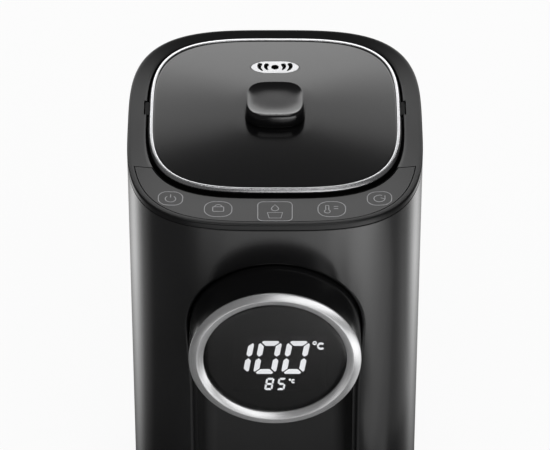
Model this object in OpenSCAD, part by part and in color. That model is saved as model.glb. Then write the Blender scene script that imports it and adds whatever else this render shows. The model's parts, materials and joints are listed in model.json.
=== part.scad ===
// Electric thermo pot with a lift-off lid, a round display snout and a swivel base.
// The origin is on the table under the swivel axis; the snout points along -Y.

/* [Casing] */
// Width of the casing
body_w = 210; // [200:1:225]
// Depth of the casing without the snout
body_d = 225; // [215:1:240]
// Height of the rim's outer edge over the table
rim_z = 330; // [310:1:370]
// Squareness of the plan outline, where 2 is an ellipse
plan_power = 3.4; // [3:0.1:4]
// Wall of the moulded casing
wall = 2.5; // [2:0.1:3]
// Height over the table where the shell meets the base cover
shell_z = 40; // [36:1:46]
// Radius of the casing's lower edge
edge_r = 6; // [4:0.5:9]

/* [Top frame] */
// Height of the frame's outer side
frame_h = 5.3; // [4.8:0.1:7]
// Wall of the lid well and of the frame's skirt
frame_wall = 2.2; // [1.8:0.1:2.6]
// Width of the rim beside the lid well
rim_side = 13; // [12:0.5:16]
// Width of the rim in front of the lid well
rim_front = 29; // [26:0.5:32]
// Width of the rim behind the lid well
rim_back = 8.8; // [8:0.2:12]
// How far the rim falls from its outer edge to the well
rim_fall = 1.8; // [1:0.1:2.4]
// Radius of the rim's outer edge
rim_edge_r = 1.2; // [0.8:0.1:2]
// Depth of the lid well
well_depth = 16; // [15:0.5:20]
// Depth of the frame's skirt inside the shell
skirt_h = 6; // [4:0.5:9]
// Length of the two notches in the well's wall
notch_l = 16; // [12:0.5:22]
// Depth of the notches into the wall
notch_d = 1.9; // [1.6:0.1:2.4]
// How far the notches lie behind the lid's centre
notch_shift = 8.6; // [0:0.2:14]
// How far the notches reach down from the rim
notch_h = 5; // [4.5:0.1:6]

/* [Touch panel] */
// Margin of rim in front of the touch panel
panel_margin = 4.6; // [4:0.1:6]
// Lip between the touch panel and the well
panel_lip = 1.2; // [1:0.1:2]
// Thickness of the panel at its inner edge
panel_t = 2.4; // [2:0.1:3]
// Distance from the casing's centre to the panel's ends
panel_end = 47.4; // [40:0.5:60]
// Groove round the panel
panel_groove = 0.4; // [0.3:0.05:0.6]
// Thickness of the circuit boards
board_t = 1.6; // [1:0.1:2]
// Radius of a touch contact spring
spring_r = 4; // [3:0.1:4.5]

/* [Lid] */
// Gap between the lid and the sides of the well
gap_side = 1.8; // [1.2:0.1:3]
// Gap in front of the lid
gap_front = 8.3; // [6:0.1:10]
// Gap behind the lid
gap_back = 2.5; // [1.2:0.1:4]
// Width of the lid's trim ring
ring_w = 3; // [2.4:0.1:4]
// Height of the trim ring
ring_h = 3.3; // [3:0.1:4]
// How far the trim ring stands over the rim
ring_proud = 1; // [0.4:0.1:2]
// Height of the lid's dome over the ring's seat
dome_h = 2.8; // [2:0.1:5]
// Wall of the lid shell
lid_wall = 2.6; // [2:0.1:3]
// Depth of the round plug below the well's floor
plug_h = 11; // [9:0.5:14]
// Wall of the plug
plug_wall = 2.5; // [2:0.1:3]
// Width of the grip knob over its foot
knob_w = 43.4; // [38:0.5:50]
// Height of the grip knob
knob_h = 10.6; // [9:0.2:16]
// Draw-in of the knob from its foot to its top
knob_draw = 4.4; // [3:0.2:7]
// Depth of the dish in the knob's top
dish_h = 1.7; // [1:0.1:2.5]
// Radius of the dish in the knob's top
dish_r = 15; // [10:0.5:17]
// Squareness of the knob's outline
knob_power = 4.2; // [3:0.1:6]

/* [Steam vent] */
// Length of the vent plate
vent_l = 35; // [30:0.5:40]
// Width of the vent plate
vent_w = 14; // [13:0.5:17]
// Thickness of the vent plate
vent_t = 1.6; // [1.2:0.1:2]
// Room between the steam duct and the plug's wall
vent_room = 10.4; // [6:0.2:16]
// Radius of the steam duct's bore
duct_r = 7; // [6:0.1:8]
// Wall of the steam duct
duct_wall = 2; // [1.5:0.1:2.5]
// Radius of the tip-over valve's ball
ball_r = 4.5; // [3.5:0.1:5.5]
// How far the ball lifts
ball_lift = 5; // [3:0.5:6]

/* [Snout and display] */
// Radius of the snout
snout_r = 60.6; // [54:0.2:64]
// How far the snout's axis lies below the rim
snout_drop = 98.3; // [90:0.1:120]
// How far the display ring's face stands ahead of the casing
snout_reach = 30.8; // [26:0.2:40]
// Width of the ring's flat band
band_w = 6.2; // [5:0.1:8]
// Width of the ring's inner bevel
bevel_w = 4; // [3:0.1:5]
// Depth of the ring's inner bevel
bevel_d = 3.5; // [2:0.1:4.5]
// Depth of the ring's cylindrical side
ring_side = 2.7; // [2:0.1:4]
// Thickness of the display glass
glass_t = 2; // [1.5:0.1:3]
// Height of the large digits
digit_h = 31.2; // [24:0.2:34]
// Height of the small digits
small_h = 11.8; // [9:0.2:14]
// Lean of the digits, as a slope
digit_lean = 0.14; // [0:0.01:0.25]
// Radius of the outlet nozzle
nozzle_r = 8; // [6.5:0.1:10]
// Radius of the outlet nozzle's bore
nozzle_bore = 4.5; // [3:0.1:5]
// How far the nozzle hangs below the snout
nozzle_drop = 8; // [4:0.5:14]
// How far the nozzle lies ahead of the casing
nozzle_reach = 3.6; // [0:0.2:8]

/* [Bay] */
// Depth of the bay under the snout
bay_depth = 24; // [18:0.5:26]
// Width of the lip beside the bay
bay_lip = 2.1; // [1.5:0.1:3]
// Draw-in of the bay's side walls
bay_draw = 10; // [6:0.5:14]
// Wall of the bay
bay_wall = 2.4; // [2:0.1:3]

/* [Tank] */
// Least room between the tank's insulation and the casing
tank_room = 5.4; // [4:0.1:10]
// Wall of the tank
tank_wall = 0.8; // [0.6:0.1:1.2]
// Radius of the tank's lower edge
tank_edge_r = 14; // [8:0.5:18]
// Draw-in of the tank from its side to its mouth
mouth_step = 9.8; // [9:0.1:14]
// Height of the tank's straight neck
neck_h = 6; // [5:0.5:9]
// Height of the tank's shoulder
shoulder_h = 11; // [9:0.5:16]
// Thickness of the mouth seal
seal_t = 2.6; // [2:0.1:3.4]
// Thickness of the insulating jacket
jacket_t = 3.5; // [2:0.1:4]
// Thickness of the keep-warm heater band
warm_t = 1.9; // [1.4:0.1:2.4]
// Height of the keep-warm heater band
warm_h = 50; // [30:1:80]
// Outer radius of the boiling heater
heater_r = 56; // [48:1:62]
// Thickness of the boiling heater
heater_t = 5.6; // [4:0.1:6.2]

/* [Pump] */
// Radius of the motor
motor_r = 14; // [12:0.5:15]
// Height of the motor
motor_h = 27.7; // [24:0.1:34]
// Radius of the pump housing
pump_r = 18; // [17:0.5:20]
// Height of the pump housing
pump_h = 22; // [21:0.5:26]
// Radius of the drive magnet
magnet_r = 12.5; // [10:0.5:12.5]
// Radius of the motor shaft
shaft_r = 1.15; // [0.95:0.05:1.4]
// Number of impeller blades
blades = 6; // [4:1:8]
// Outer radius of the pipe stubs
stub_r = 5; // [4.5:0.1:5.5]
// Bore of the pipe stubs
stub_bore = 3.6; // [2.8:0.1:3.8]

/* [Swivel base] */
// Height of the rubber ring under the swivel base
foot_h = 2.5; // [2:0.1:4]
// Outer radius of the rubber ring
foot_r = 74; // [64:1:78]
// Width of the rubber ring
foot_w = 12; // [8:0.5:16]
// Radius of the swivel base
swivel_r = 80; // [70:1:84]
// Height of the swivel base
swivel_h = 8; // [7:0.5:12]
// Wall of the swivel base
swivel_wall = 2.2; // [1.8:0.1:3]
// Radius of the swivel hub
hub_r = 9; // [7:0.5:12]
// Height of the rib that the pot glides on
glide_h = 1.2; // [0.8:0.1:2]

/* [Power inlet] */
// Width of the inlet's cavity
inlet_w = 24.2; // [22:0.2:26]
// Height of the inlet's cavity
inlet_h = 16.4; // [14:0.2:18]
// Depth of the inlet's cavity
inlet_d = 18; // [14:0.5:19]
// Length of the inlet's pins
pin_l = 13; // [9:0.5:13.5]
// Height of the inlet's centre over the table
inlet_z = 60; // [56:1:64]
// Width of the flange round the inlet
inlet_flange = 3; // [2:0.5:5]

/* [Fits] */
// Gap between pieces that seat on each other
seat = 0.1; // [0.05:0.05:0.2]
// Gap between pieces that move past each other
pass = 0.3; // [0.2:0.05:0.4]
// Radial clearance of a running shaft
run = 0.05; // [0.03:0.01:0.08]

/* [Hidden] */

// Finish of curves and outlines
$fn = 96;
plan_steps = 96;
eps = 0.01;

// Plan of the casing
hw = body_w / 2;
hd = body_d / 2;

// Heights from the table up
foot_sink = 1;
swivel_top = foot_h + swivel_h;
pot_z = swivel_top + pass + glide_h;
floor_top = pot_z + wall;
motor_clear = 7.5;
motor_z = floor_top + motor_clear;
motor_top = motor_z + motor_h;
pump_z = motor_top + seat;
pump_top = pump_z + pump_h;
pump_cover_t = 2.5;
pump_cover_top = pump_top + seat + pump_cover_t;
pump_stub_h = 6;
tank_stub_h = 7;
stub_gap = 0.6;
tank_z = pump_cover_top + pump_stub_h + stub_gap + tank_stub_h;

// Heights from the rim down
frame_z = rim_z - frame_h;
rim_low = rim_z - rim_fall;
panel_z = rim_low - panel_t;
deck_z = panel_z - wall;
well_z = rim_z - well_depth;
well_under = well_z - wall;
tank_top = well_under - seal_t - 2 * seat;
axis_z = rim_z - snout_drop;

// Lid well and lid
well_hw = hw - rim_side;
well_hd = (body_d - rim_front - rim_back) / 2;
well_y = (rim_front - rim_back) / 2;
lid_hw = well_hw - gap_side;
lid_hd = well_hd - (gap_front + gap_back) / 2;
lid_y = well_y + (gap_front - gap_back) / 2;
ring_z = rim_z + ring_proud - ring_h;
tray_z = well_z + pass;
tray_inset = 0.6;
tray_wall = frame_wall;
tray_hw = lid_hw - tray_inset;
tray_hd = lid_hd - tray_inset;
tray_floor = tray_z + tray_wall;
shell_hw = lid_hw - ring_w - seat;
shell_hd = lid_hd - ring_w - seat;
shell_edge_z = ring_z + ring_h - 0.8;
plug_z = well_z - plug_h;
cover_t = 1.5;
dome_flat = 0.3;
dome_top = shell_edge_z + dome_h * (1 - dome_flat * dome_flat);
knob_z = dome_top + seat;
knob_hw = knob_w / 2;
vent_z = shell_edge_z + 0.2;
duct_top = shell_edge_z - lid_wall + dome_h * 0.4;
cage_plate = 1.5;
ball_z = plug_z + cage_plate + ball_r + seat;

// Round tank stack, as wide as the casing lets it be, and what follows from it
jacket_out = min(hd - lid_y, hw) - wall - tank_room;
jacket_r = jacket_out - jacket_t;
warm_r = jacket_r - seat - warm_t;
tank_r = warm_r - seat;
mouth_r = tank_r - mouth_step;
heater_in = stub_r + 9;
heater_z = tank_z - seat - heater_t;
sensor_r = 4;
support_wall = 2.5;
support_r = tank_r - tank_edge_r / 2;
seal_in = mouth_r + 0.2;
plug_r = mouth_r - 3.7;
seal_out = mouth_r + 4.6;
vent_y = lid_y + plug_r - plug_wall - duct_r - duct_wall - vent_room;

// Snout, display and bay
ring_face = -hd - snout_reach;
housing_front = ring_face + ring_side;
glass_face = ring_face + bevel_d;
glass_r = snout_r - band_w - bevel_w + 3;
glass_back = glass_face + glass_t;
digit_t = 0.8;
holder_front = glass_back + digit_t + seat;
holder_t = 5;
board_front = holder_front + holder_t + seat;
snout_wall = 2.6;
bay_back = -hd + bay_depth;
bay_rear = bay_back + bay_wall;
snout_rear = bay_rear + 1.6;
bay_edge_hw = snout_r;
bay_hw = bay_edge_hw - bay_lip;
bay_flange = 4;
bay_front_y = bay_back - bay_depth * 0.8;
nozzle_y = -hd - nozzle_reach;
snout_low = axis_z - snout_r;
nozzle_z = snout_low - nozzle_drop;
nozzle_flange_r = nozzle_r + 3;
nozzle_seat_z = snout_low + snout_wall + 1.4;
nozzle_top = nozzle_seat_z + 16;

// Pump
magnet_top = pump_z + 10.5;
chamber_z = magnet_top + 2;
chamber_r = magnet_r + 1.2;
ear_r = 4;
ear_ring = pump_r + 2.4;
screw_r = 1.5;
spindle_r = 1;
outlet_z = chamber_z + stub_r - 0.6;
outlet_l = 16;

// Power board
pcb = [76, 34];
pcb_room = 3;
pcb_y = lid_y + sqrt(pow(support_r - support_wall - pcb_room, 2) - pow(pcb[0] / 2, 2)) - pcb[1] / 2;
pcb_z = floor_top + 11.5;
pcb_inset = 5;
boss_r = 3.5;
terminal_y = -8;
terminal_h = 12.3;

// Screws through the base
base_screw_ring = support_r - support_wall - 3;
base_screw_r = 1.8;

// Routes of the hose and the wires, as round numbers between their two ends
hose_r = 5;
side_x = hw - 27;
side_y = snout_rear + hose_r + 3.5;
hose_path = [[pump_r + outlet_l, lid_y, outlet_z], [support_r - 19, lid_y, outlet_z],
    [support_r + 3, lid_y - 6, outlet_z], [support_r + 7, lid_y - 45, outlet_z + 4], [side_x, side_y + 4, outlet_z + 30], [side_x, side_y + 1, axis_z - 40],
    [side_x, side_y, axis_z + 10], [66, side_y - 1, axis_z + 24], [44, side_y - 4, axis_z + 22],
    [20, side_y - 16, axis_z + 12],
    [0, nozzle_y + 4, axis_z + 6], [0, nozzle_y, axis_z - 16], [0, nozzle_y, nozzle_top + seat]];
wire_r = 2.5;
wire_path = [[-30, pcb_y + terminal_y + 5, pcb_z + board_t + terminal_h + seat],
    [-30, pcb_y + terminal_y + 5, pcb_z + 20], [31 - support_r, lid_y + 21, pcb_z + 22],
    [-support_r - 5, lid_y, pcb_z + 22], [-support_r - 7, lid_y - 45, pcb_z + 30], [-side_x, side_y + 6, pcb_z + 60], [-side_x, side_y + 1, axis_z - 40],
    [-side_x, side_y, axis_z + 6], [-66, side_y - 1, axis_z + 20], [-44, side_y - 4, axis_z + 20],
    [-26, side_y - 18, axis_z + 12],
    [-20, board_front + board_t + 12, axis_z + 4], [-20, board_front + board_t + seat, axis_z + 4]];

// Superellipse outline about [0, cy], at even angles
function outline(a, b, n, cy, k) = [for (i = [0 : k - 1])
    let (t = 360 * i / k, r = pow(pow(abs(cos(t)) / a, n) + pow(abs(sin(t)) / b, n), -1 / n))
    [r * cos(t), cy + r * sin(t)]];

// Front edge of such an outline at x
function front_edge(a, b, cy, x) = cy - b * pow(1 - pow(abs(x) / a, plan_power), 1 / plan_power);

// Touch fields, on the middle line of the touch panel
touch_spots = [for (f = [-0.703, -0.386, 0, 0.386, 0.703]) let (x = f * hw)
    [x, (front_edge(hw - panel_margin, hd - panel_margin, 0, x)
        + front_edge(well_hw + panel_lip, well_hd + panel_lip, well_y, x)) / 2]];

// Faces of a skin of rows with k points each, closed by two caps
function skin_faces(rows, k) = concat(
    [[for (i = [0 : k - 1]) i], [for (i = [k - 1 : -1 : 0]) (rows - 1) * k + i]],
    [for (j = [0 : rows - 2]) for (i = [0 : k - 1]) [j * k + i, (j + 1) * k + i, (j + 1) * k + (i + 1) % k]],
    [for (j = [0 : rows - 2]) for (i = [0 : k - 1]) [j * k + i, (j + 1) * k + (i + 1) % k, j * k + (i + 1) % k]]);

// Solid through levels of [half width, half depth, height, centre]
module stack(levels, n = plan_power, k = plan_steps) {
    points = [for (l = levels) for (p = outline(l[0], l[1], n, l[3], k)) [p[0], p[1], l[2]]];
    polyhedron(points, skin_faces(len(levels), k), convexity = 6);
}

// Closed band through such levels, up its outside and down its inside
module band(levels, n = plan_power, k = plan_steps) {
    rows = len(levels);
    points = [for (l = levels) for (p = outline(l[0], l[1], n, l[3], k)) [p[0], p[1], l[2]]];
    polyhedron(points, [for (j = [0 : rows - 1]) for (i = [0 : k - 1])
        let (a = j * k, b = (j + 1) % rows * k, m = (i + 1) % k)
        each [[a + i, b + i, b + m], [a + i, b + m, a + m]]], convexity = 6);
}

// Flat outline and its straight solid
module plan(a, b, cy = 0) polygon(outline(a, b, plan_power, cy, plan_steps));

module slab(z0, z1) translate([0, 0, z0]) linear_extrude(z1 - z0) children();

// Corner cutting that rounds a route and keeps its ends
function rounded(p) = concat([p[0]],
    [for (i = [0 : len(p) - 2]) each [p[i] * 0.75 + p[i + 1] * 0.25, p[i] * 0.25 + p[i + 1] * 0.75]],
    [p[len(p) - 1]]);
function unit(v) = v / norm(v);
function along(p) = [for (i = [0 : len(p) - 1]) unit(p[min(i + 1, len(p) - 1)] - p[max(i - 1, 0)])];
function carried(t, n, i = 0) = i == len(t) ? [] :
    let (m = unit(n - (n * t[i]) * t[i])) concat([m], carried(t, m, i + 1));

// Round tube along a route
module tube(route, r, side, k = 10) {
    p = rounded(rounded(route));
    t = along(p);
    n = carried(t, side);
    points = [for (i = [0 : len(p) - 1]) for (j = [0 : k - 1])
        p[i] + r * (cos(360 * j / k) * n[i] + sin(360 * j / k) * cross(t[i], n[i]))];
    polyhedron(points, skin_faces(len(p), k), convexity = 6);
}

// Turns a solid drawn upwards so that it points towards the front, from the snout's axis
module snout_way(y) translate([0, y, axis_z]) rotate([-90, 0, 0]) children();

module ring(r_out, r_in, z0, z1) slab(z0, z1) difference() {
    circle(r_out);
    circle(r_in);
}

module at_tank() translate([0, lid_y, 0]) children();

module stadium(l, w) union() {
    square([l - w, w], center = true);
    for (s = [-1, 1]) translate([s * (l - w) / 2, 0]) circle(w / 2);
}

// The rim's top: up the outer edge, over it and down to the well
module rim_top() stack(concat([[hw, hd, frame_z, 0]],
    [for (a = [0 : 30 : 90]) let (c = rim_edge_r * (1 - cos(a)), s = rim_edge_r * (1 - sin(a)))
        [hw - c, hd - c, rim_z - s, 0]],
    [[well_hw - 3, well_hd - 3, rim_low - rim_fall * 3 / rim_side, well_y]]));

// Plan of the touch panel, grown or shrunk all round
module panel_plan(grow = 0) intersection() {
    difference() {
        plan(hw - panel_margin + grow, hd - panel_margin + grow);
        plan(well_hw + panel_lip - grow, well_hd + panel_lip - grow, well_y);
    }
    translate([-hw, -hd]) square([body_w, hd - panel_end + grow]);
}

// Plan of the bay's open space and of the wall behind it
module bay_space() polygon([[-bay_hw, -hd - 9], [bay_hw, -hd - 9], [bay_hw, bay_front_y],
    [bay_hw - bay_draw, bay_back], [bay_draw - bay_hw, bay_back], [-bay_hw, bay_front_y]]);
module bay_solid() polygon([[-bay_edge_hw, -hd - 6], [bay_edge_hw, -hd - 6],
    [bay_edge_hw, bay_front_y + bay_flange], [bay_hw - bay_draw + bay_wall, bay_rear],
    [bay_draw - bay_hw - bay_wall, bay_rear], [-bay_edge_hw, bay_front_y + bay_flange]]);

// ---- Swivel base ----

module swivel_base() color("#202022") difference() {
    union() {
        rotate_extrude() polygon([[0, foot_h], [swivel_r - 1, foot_h], [swivel_r, foot_h + 1],
            [swivel_r, swivel_top - 1], [swivel_r - 1, swivel_top], [0, swivel_top]]);
        cylinder(r = hub_r, h = floor_top + pass);
    }
    ring(foot_r - foot_w - swivel_wall, hub_r, -1, swivel_top - swivel_wall);
    ring(foot_r + seat, foot_r - foot_w - seat, -1, foot_h + foot_sink);
    translate([0, 0, -1]) cylinder(r = hub_r - 2.5, h = swivel_top + 1);
    cylinder(r = screw_r + run, h = floor_top + 2);
}

module rubber_ring() color("#101010") rotate_extrude() polygon([
    [foot_r - foot_w, 0.6], [foot_r - foot_w + 0.6, 0], [foot_r - 0.6, 0], [foot_r, 0.6],
    [foot_r, foot_h + foot_sink - seat], [foot_r - foot_w, foot_h + foot_sink - seat]]);

module swivel_retainer() color("silver") difference() {
    ring(hub_r + 7, screw_r + run, floor_top + pass, floor_top + pass + 2.2);
    for (a = [0 : 90 : 270]) rotate(a) translate([hub_r + 3, 0, floor_top]) cylinder(r = 1.2, h = 4);
}

module screw(r, z_tip, z_seat, head_r, head_h) {
    translate([0, 0, z_tip]) cylinder(r = r, h = z_seat - z_tip);
    difference() {
        translate([0, 0, z_seat]) cylinder(r = head_r, h = head_h);
        for (a = [0, 90]) rotate(a) translate([-head_r * 0.6, -0.4, z_seat + head_h * 0.5])
            cube([head_r * 1.2, 0.8, head_h]);
    }
}

// The same screw with its head below
module low_screw(r, z_tip, z_seat, head_r, head_h)
    translate([0, 0, z_seat + z_tip]) mirror([0, 0, 1]) screw(r, z_seat, z_tip, head_r, head_h);

module retainer_screw() color("silver") screw(screw_r, swivel_top + 0.5, floor_top + pass + 2.2, 3.2, 2);

// ---- Base cover and what stands on it ----

module base_screw_spots() at_tank() for (a = [45 : 90 : 315]) rotate(a)
    translate([base_screw_ring, 0, 0]) children();

module board_spots() for (x = [-1, 1]) for (y = [-1, 1])
    translate([x * (pcb[0] / 2 - pcb_inset), pcb_y + y * (pcb[1] / 2 - pcb_inset), 0]) children();

base_head_h = 1.4;

// Casing's lower end, drawn in by d all round and lifted by d
module base_form(d, top) stack(concat(
    [for (a = [0 : 30 : 90]) let (r = max(edge_r - d, 1), c = d + r * (1 - sin(a)))
        [hw - c, hd - c, pot_z + d + r * (1 - cos(a)), 0]],
    [[hw - d, hd - d, top, 0]]));

module base_cover() color("#1b1b1d") difference() {
    union() {
        difference() {
            base_form(0, shell_z);
            difference() {
                base_form(wall, shell_z + 1);
                slab(pot_z, shell_z + 2) bay_solid();
            }
        }
        slab(shell_z - 4, shell_z + 5) difference() {
            plan(hw - wall - seat, hd - wall - seat);
            plan(hw - wall - 2, hd - wall - 2);
            translate([-bay_edge_hw - 1, -hd]) square([2 * bay_edge_hw + 2, 40]);
        }
        slab(shell_z - 4, shell_z - eps) difference() {
            plan(hw - wall + 0.5, hd - wall + 0.5);
            plan(hw - wall - 1.5, hd - wall - 1.5);
        }
        ring(swivel_r - 4, swivel_r - 8, pot_z - glide_h, pot_z + 1);
        ring(hub_r + 3.5, hub_r, pot_z, floor_top);
        board_spots() translate([0, 0, pot_z + 1]) cylinder(r = boss_r, h = pcb_z - pot_z - 1 - seat);
    }
    slab(pot_z - 2, shell_z + 6) bay_space();
    translate([0, 0, pot_z - 2]) cylinder(r = hub_r + run, h = 6);
    base_screw_spots() {
        translate([0, 0, pot_z - 1]) cylinder(r = base_screw_r + run, h = 6);
        translate([0, 0, pot_z - 1]) cylinder(r = 3.9, h = 1.2 + base_head_h);
    }
    board_spots() translate([0, 0, floor_top]) cylinder(r = screw_r + run, h = pcb_z);
    for (s = [-1, 1]) for (i = [0 : 5]) translate([s * 40, 20 + i * 7, pot_z - 1]) slab(0, 5) stadium(26, 2.4);
}

module base_screws() color("silver") base_screw_spots()
    low_screw(base_screw_r, floor_top + 14, pot_z + 0.2 + base_head_h, 3.4, base_head_h);

window_hw = 24;
window_low = 10;
window_h = outlet_z + stub_r + 6 - floor_top - window_low;

module window_plan() polygon([[-window_hw, 0], [window_hw, 0], [window_hw, window_h - 12],
    [window_hw - 12, window_h], [12 - window_hw, window_h], [-window_hw, window_h - 12]]);

module tank_support() color("#3a3a3c") {
    top = tank_z + tank_edge_r - sqrt(pow(tank_edge_r, 2) - pow(tank_edge_r / 2 - support_wall, 2)) - seat;
    difference() {
        union() {
            at_tank() ring(support_r, support_r - support_wall, floor_top + seat, top);
            base_screw_spots() translate([0, 0, floor_top + 0.5]) cylinder(r = 4.6, h = 18);
        }
        at_tank() for (a = [0 : 90 : 270]) rotate(a) translate([0, 0, floor_top + window_low]) rotate([90, 0, 0])
            translate([0, 0, tank_r / 2]) linear_extrude(tank_r) window_plan();
        base_screw_spots() translate([0, 0, floor_top - 1]) cylinder(r = base_screw_r + run, h = 16);
    }
}

module pump_bracket() color("silver") at_tank() difference() {
    union() {
        slab(motor_top - 2.2, motor_top) square([2 * motor_r + 36, 2 * motor_r + 6], center = true);
        for (s = [-1, 1]) slab(floor_top + seat, motor_top) translate([s * (motor_r + 15), 0])
            square([6, 2 * motor_r - 12], center = true);
    }
    translate([0, 0, motor_z]) cylinder(r = motor_r + run, h = motor_h + 1);
}

module power_board() color("#2c6e49") difference() {
    translate([-pcb[0] / 2, pcb_y - pcb[1] / 2, pcb_z]) cube([pcb[0], pcb[1], board_t]);
    board_spots() translate([0, 0, pcb_z - 1]) cylinder(r = screw_r + run, h = board_t + 2);
}

module board_parts() color("#222222") translate([0, pcb_y, pcb_z + board_t]) {
    translate([-37, terminal_y, 0]) cube([14, 10, terminal_h]);
    for (x = [-14, 8]) translate([x, -16, 0]) cube([19, 15, 15]);
    translate([-16, 2, 0]) cube([28, 14, 20]);
    for (x = [17.5, 25.5]) translate([x, 7, 0]) cylinder(r = 3.6, h = 14);
    translate([30, -7, 0]) cube([3, 12, 18]);
    for (x = [-27, -21]) translate([x, 12, 0]) cylinder(r = 2, h = 7);
}

module board_screws() color("silver") board_spots()
    screw(screw_r, pcb_z - 8, pcb_z + board_t, 2.8, 1.8);

// ---- Shell and power inlet ----

inlet_face = hd + 2;
inlet_wall = 2;

module inlet_plan(grow) polygon([[-inlet_w / 2 - grow, -inlet_h / 2 - grow], [inlet_w / 2 + grow, -inlet_h / 2 - grow],
    [inlet_w / 2 + grow, inlet_h / 2 - 4], [inlet_w / 2 - 4, inlet_h / 2 + grow],
    [4 - inlet_w / 2, inlet_h / 2 + grow], [-inlet_w / 2 - grow, inlet_h / 2 - 4]]);

// Flat plan stood on edge, from y towards the front
module from_back(y, depth) translate([0, y, inlet_z]) rotate([90, 0, 0]) linear_extrude(depth) children();

module body_shell() color("#1b1b1d") difference() {
    union() {
        slab(shell_z, frame_z) difference() {
            plan(hw, hd);
            plan(hw - wall, hd - wall);
        }
        for (s = [-1, 1]) for (y = [-36, 0, 36]) translate([s * (hw - wall / 2 - 2), y, (shell_z + frame_z) / 2])
            cube([3.5, 1.6, frame_z - shell_z - 26], center = true);
    }
    snout_way(-hd - 6) cylinder(r = snout_r + pass, h = 40);
    translate([-bay_edge_hw - pass, -hd - 6, shell_z - 1])
        cube([2 * (bay_edge_hw + pass), 40, axis_z - shell_z + 1]);
    from_back(hd + 5, 20) inlet_plan(inlet_wall + seat);
}

module power_inlet() color("#151515") difference() {
    union() {
        from_back(inlet_face, inlet_d + inlet_wall) inlet_plan(inlet_wall);
        from_back(inlet_face, 2 - seat) inlet_plan(inlet_wall + inlet_flange);
    }
    from_back(inlet_face + 1, inlet_d + 1) inlet_plan(0);
}

module inlet_pins() color("silver") for (p = [[-7, -1.6], [0, 1.6], [7, -1.6]])
    translate([p[0] - 1, inlet_face - inlet_d, inlet_z + p[1] - 2]) cube([2, pin_l, 4]);

// ---- Top frame and touch panel ----

module top_frame() color("#3b3b3d") difference() {
    union() {
        rim_top();
        slab(frame_z - skirt_h, frame_z + 0.5) difference() {
            plan(hw - wall - seat, hd - wall - seat);
            plan(hw - wall - seat - frame_wall, hd - wall - seat - frame_wall);
        }
        slab(well_under, rim_low - 1) plan(well_hw + frame_wall, well_hd + frame_wall, well_y);
        slab(deck_z, frame_z + 0.5) intersection() {
            panel_plan(2);
            plan(hw - wall - seat, hd - wall - seat);
        }
    }
    slab(well_z, rim_z + 5) plan(well_hw, well_hd, well_y);
    at_tank() translate([0, 0, well_under - 1]) cylinder(r = mouth_r + 0.8, h = wall + 2);
    slab(panel_z, rim_z + 1) panel_plan(panel_groove);
    for (s = [-1, 1]) translate([s * (well_hw + notch_d / 2 - 1), lid_y + notch_shift, rim_z - notch_h / 2 + 1])
        cube([notch_d + 2, notch_l, notch_h + 2], center = true);
    for (p = touch_spots) translate([p[0], p[1], deck_z - 1]) cylinder(r = spring_r + 0.6, h = wall + 2);
}

module touch_panel() color("#434345") intersection() {
    rim_top();
    slab(panel_z + seat, rim_z + 1) panel_plan();
}

module touch_board() color("#2c6e49") slab(deck_z - seat - board_t, deck_z - seat) intersection() {
    difference() {
        plan(hw - wall - frame_wall - 2 * seat - pass, hd - wall - frame_wall - 2 * seat - pass);
        plan(well_hw + frame_wall + pass, well_hd + frame_wall + pass, well_y);
    }
    translate([-hw, -hd]) square([body_w, hd - panel_end]);
}

module touch_springs() color("silver") for (p = touch_spots) translate([p[0], p[1], deck_z - seat])
    rotate_extrude() polygon([[spring_r - 1.6, 0], [spring_r - 0.6, 0], [spring_r - 1, (panel_z - deck_z) / 2],
        [spring_r, panel_z + seat - deck_z], [spring_r - 2, panel_z + seat - deck_z],
        [spring_r - 2, (panel_z - deck_z) / 2]]);

// ---- Snout, display and bay ----

tab_w = 6;

module snout_housing() color("#161618") difference() {
    union() {
        snout_way(housing_front) difference() {
            cylinder(r = snout_r, h = snout_rear - housing_front);
            translate([0, 0, -1]) cylinder(r = snout_r - snout_wall, h = snout_rear - housing_front + 2);
        }
        snout_way(board_front + board_t + seat) difference() {
            cylinder(r = snout_r - 1, h = 2);
            translate([0, 0, -1]) cylinder(r = snout_r - snout_wall - 8, h = 4);
        }
        intersection() {
            snout_way(front_edge(hw - wall, hd - wall, 0, snout_r + tab_w) + seat) difference() {
                cylinder(r = snout_r + tab_w, h = 2.5);
                translate([0, 0, -1]) cylinder(r = snout_r - 1, h = 5);
            }
            translate([-hw, -hd, axis_z + 2]) cube([body_w, 40, 100]);
        }
    }
    translate([0, nozzle_y, snout_low - 5]) cylinder(r = nozzle_r + seat, h = 20);
}

module display_ring() color("silver") snout_way(ring_face) rotate_extrude() polygon([
    [snout_r - 0.5, 0], [snout_r - band_w, 0], [snout_r - band_w - bevel_w, bevel_d - 0.3],
    [snout_r - band_w - bevel_w, bevel_d], [glass_r + seat, bevel_d], [glass_r + seat, bevel_d + glass_t + 1],
    [snout_r - snout_wall - seat, bevel_d + glass_t + 1], [snout_r - snout_wall - seat, ring_side],
    [snout_r, ring_side], [snout_r, 0.5]]);

module display_glass() color("#0b0b0c") snout_way(glass_face) cylinder(r = glass_r, h = glass_t);

// Seven bars of a digit of height h: each is [x, y, upright]; on lists the bars that are lit
function digit_bars(h) = let (w = 0.46 * h, t = 0.13 * h, a = w - t, b = (h - t) / 2)
    [[0, b, 0], [a / 2, b / 2, 1], [a / 2, -b / 2, 1], [0, -b, 0], [-a / 2, -b / 2, 1], [-a / 2, b / 2, 1], [0, 0, 0]];

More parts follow.
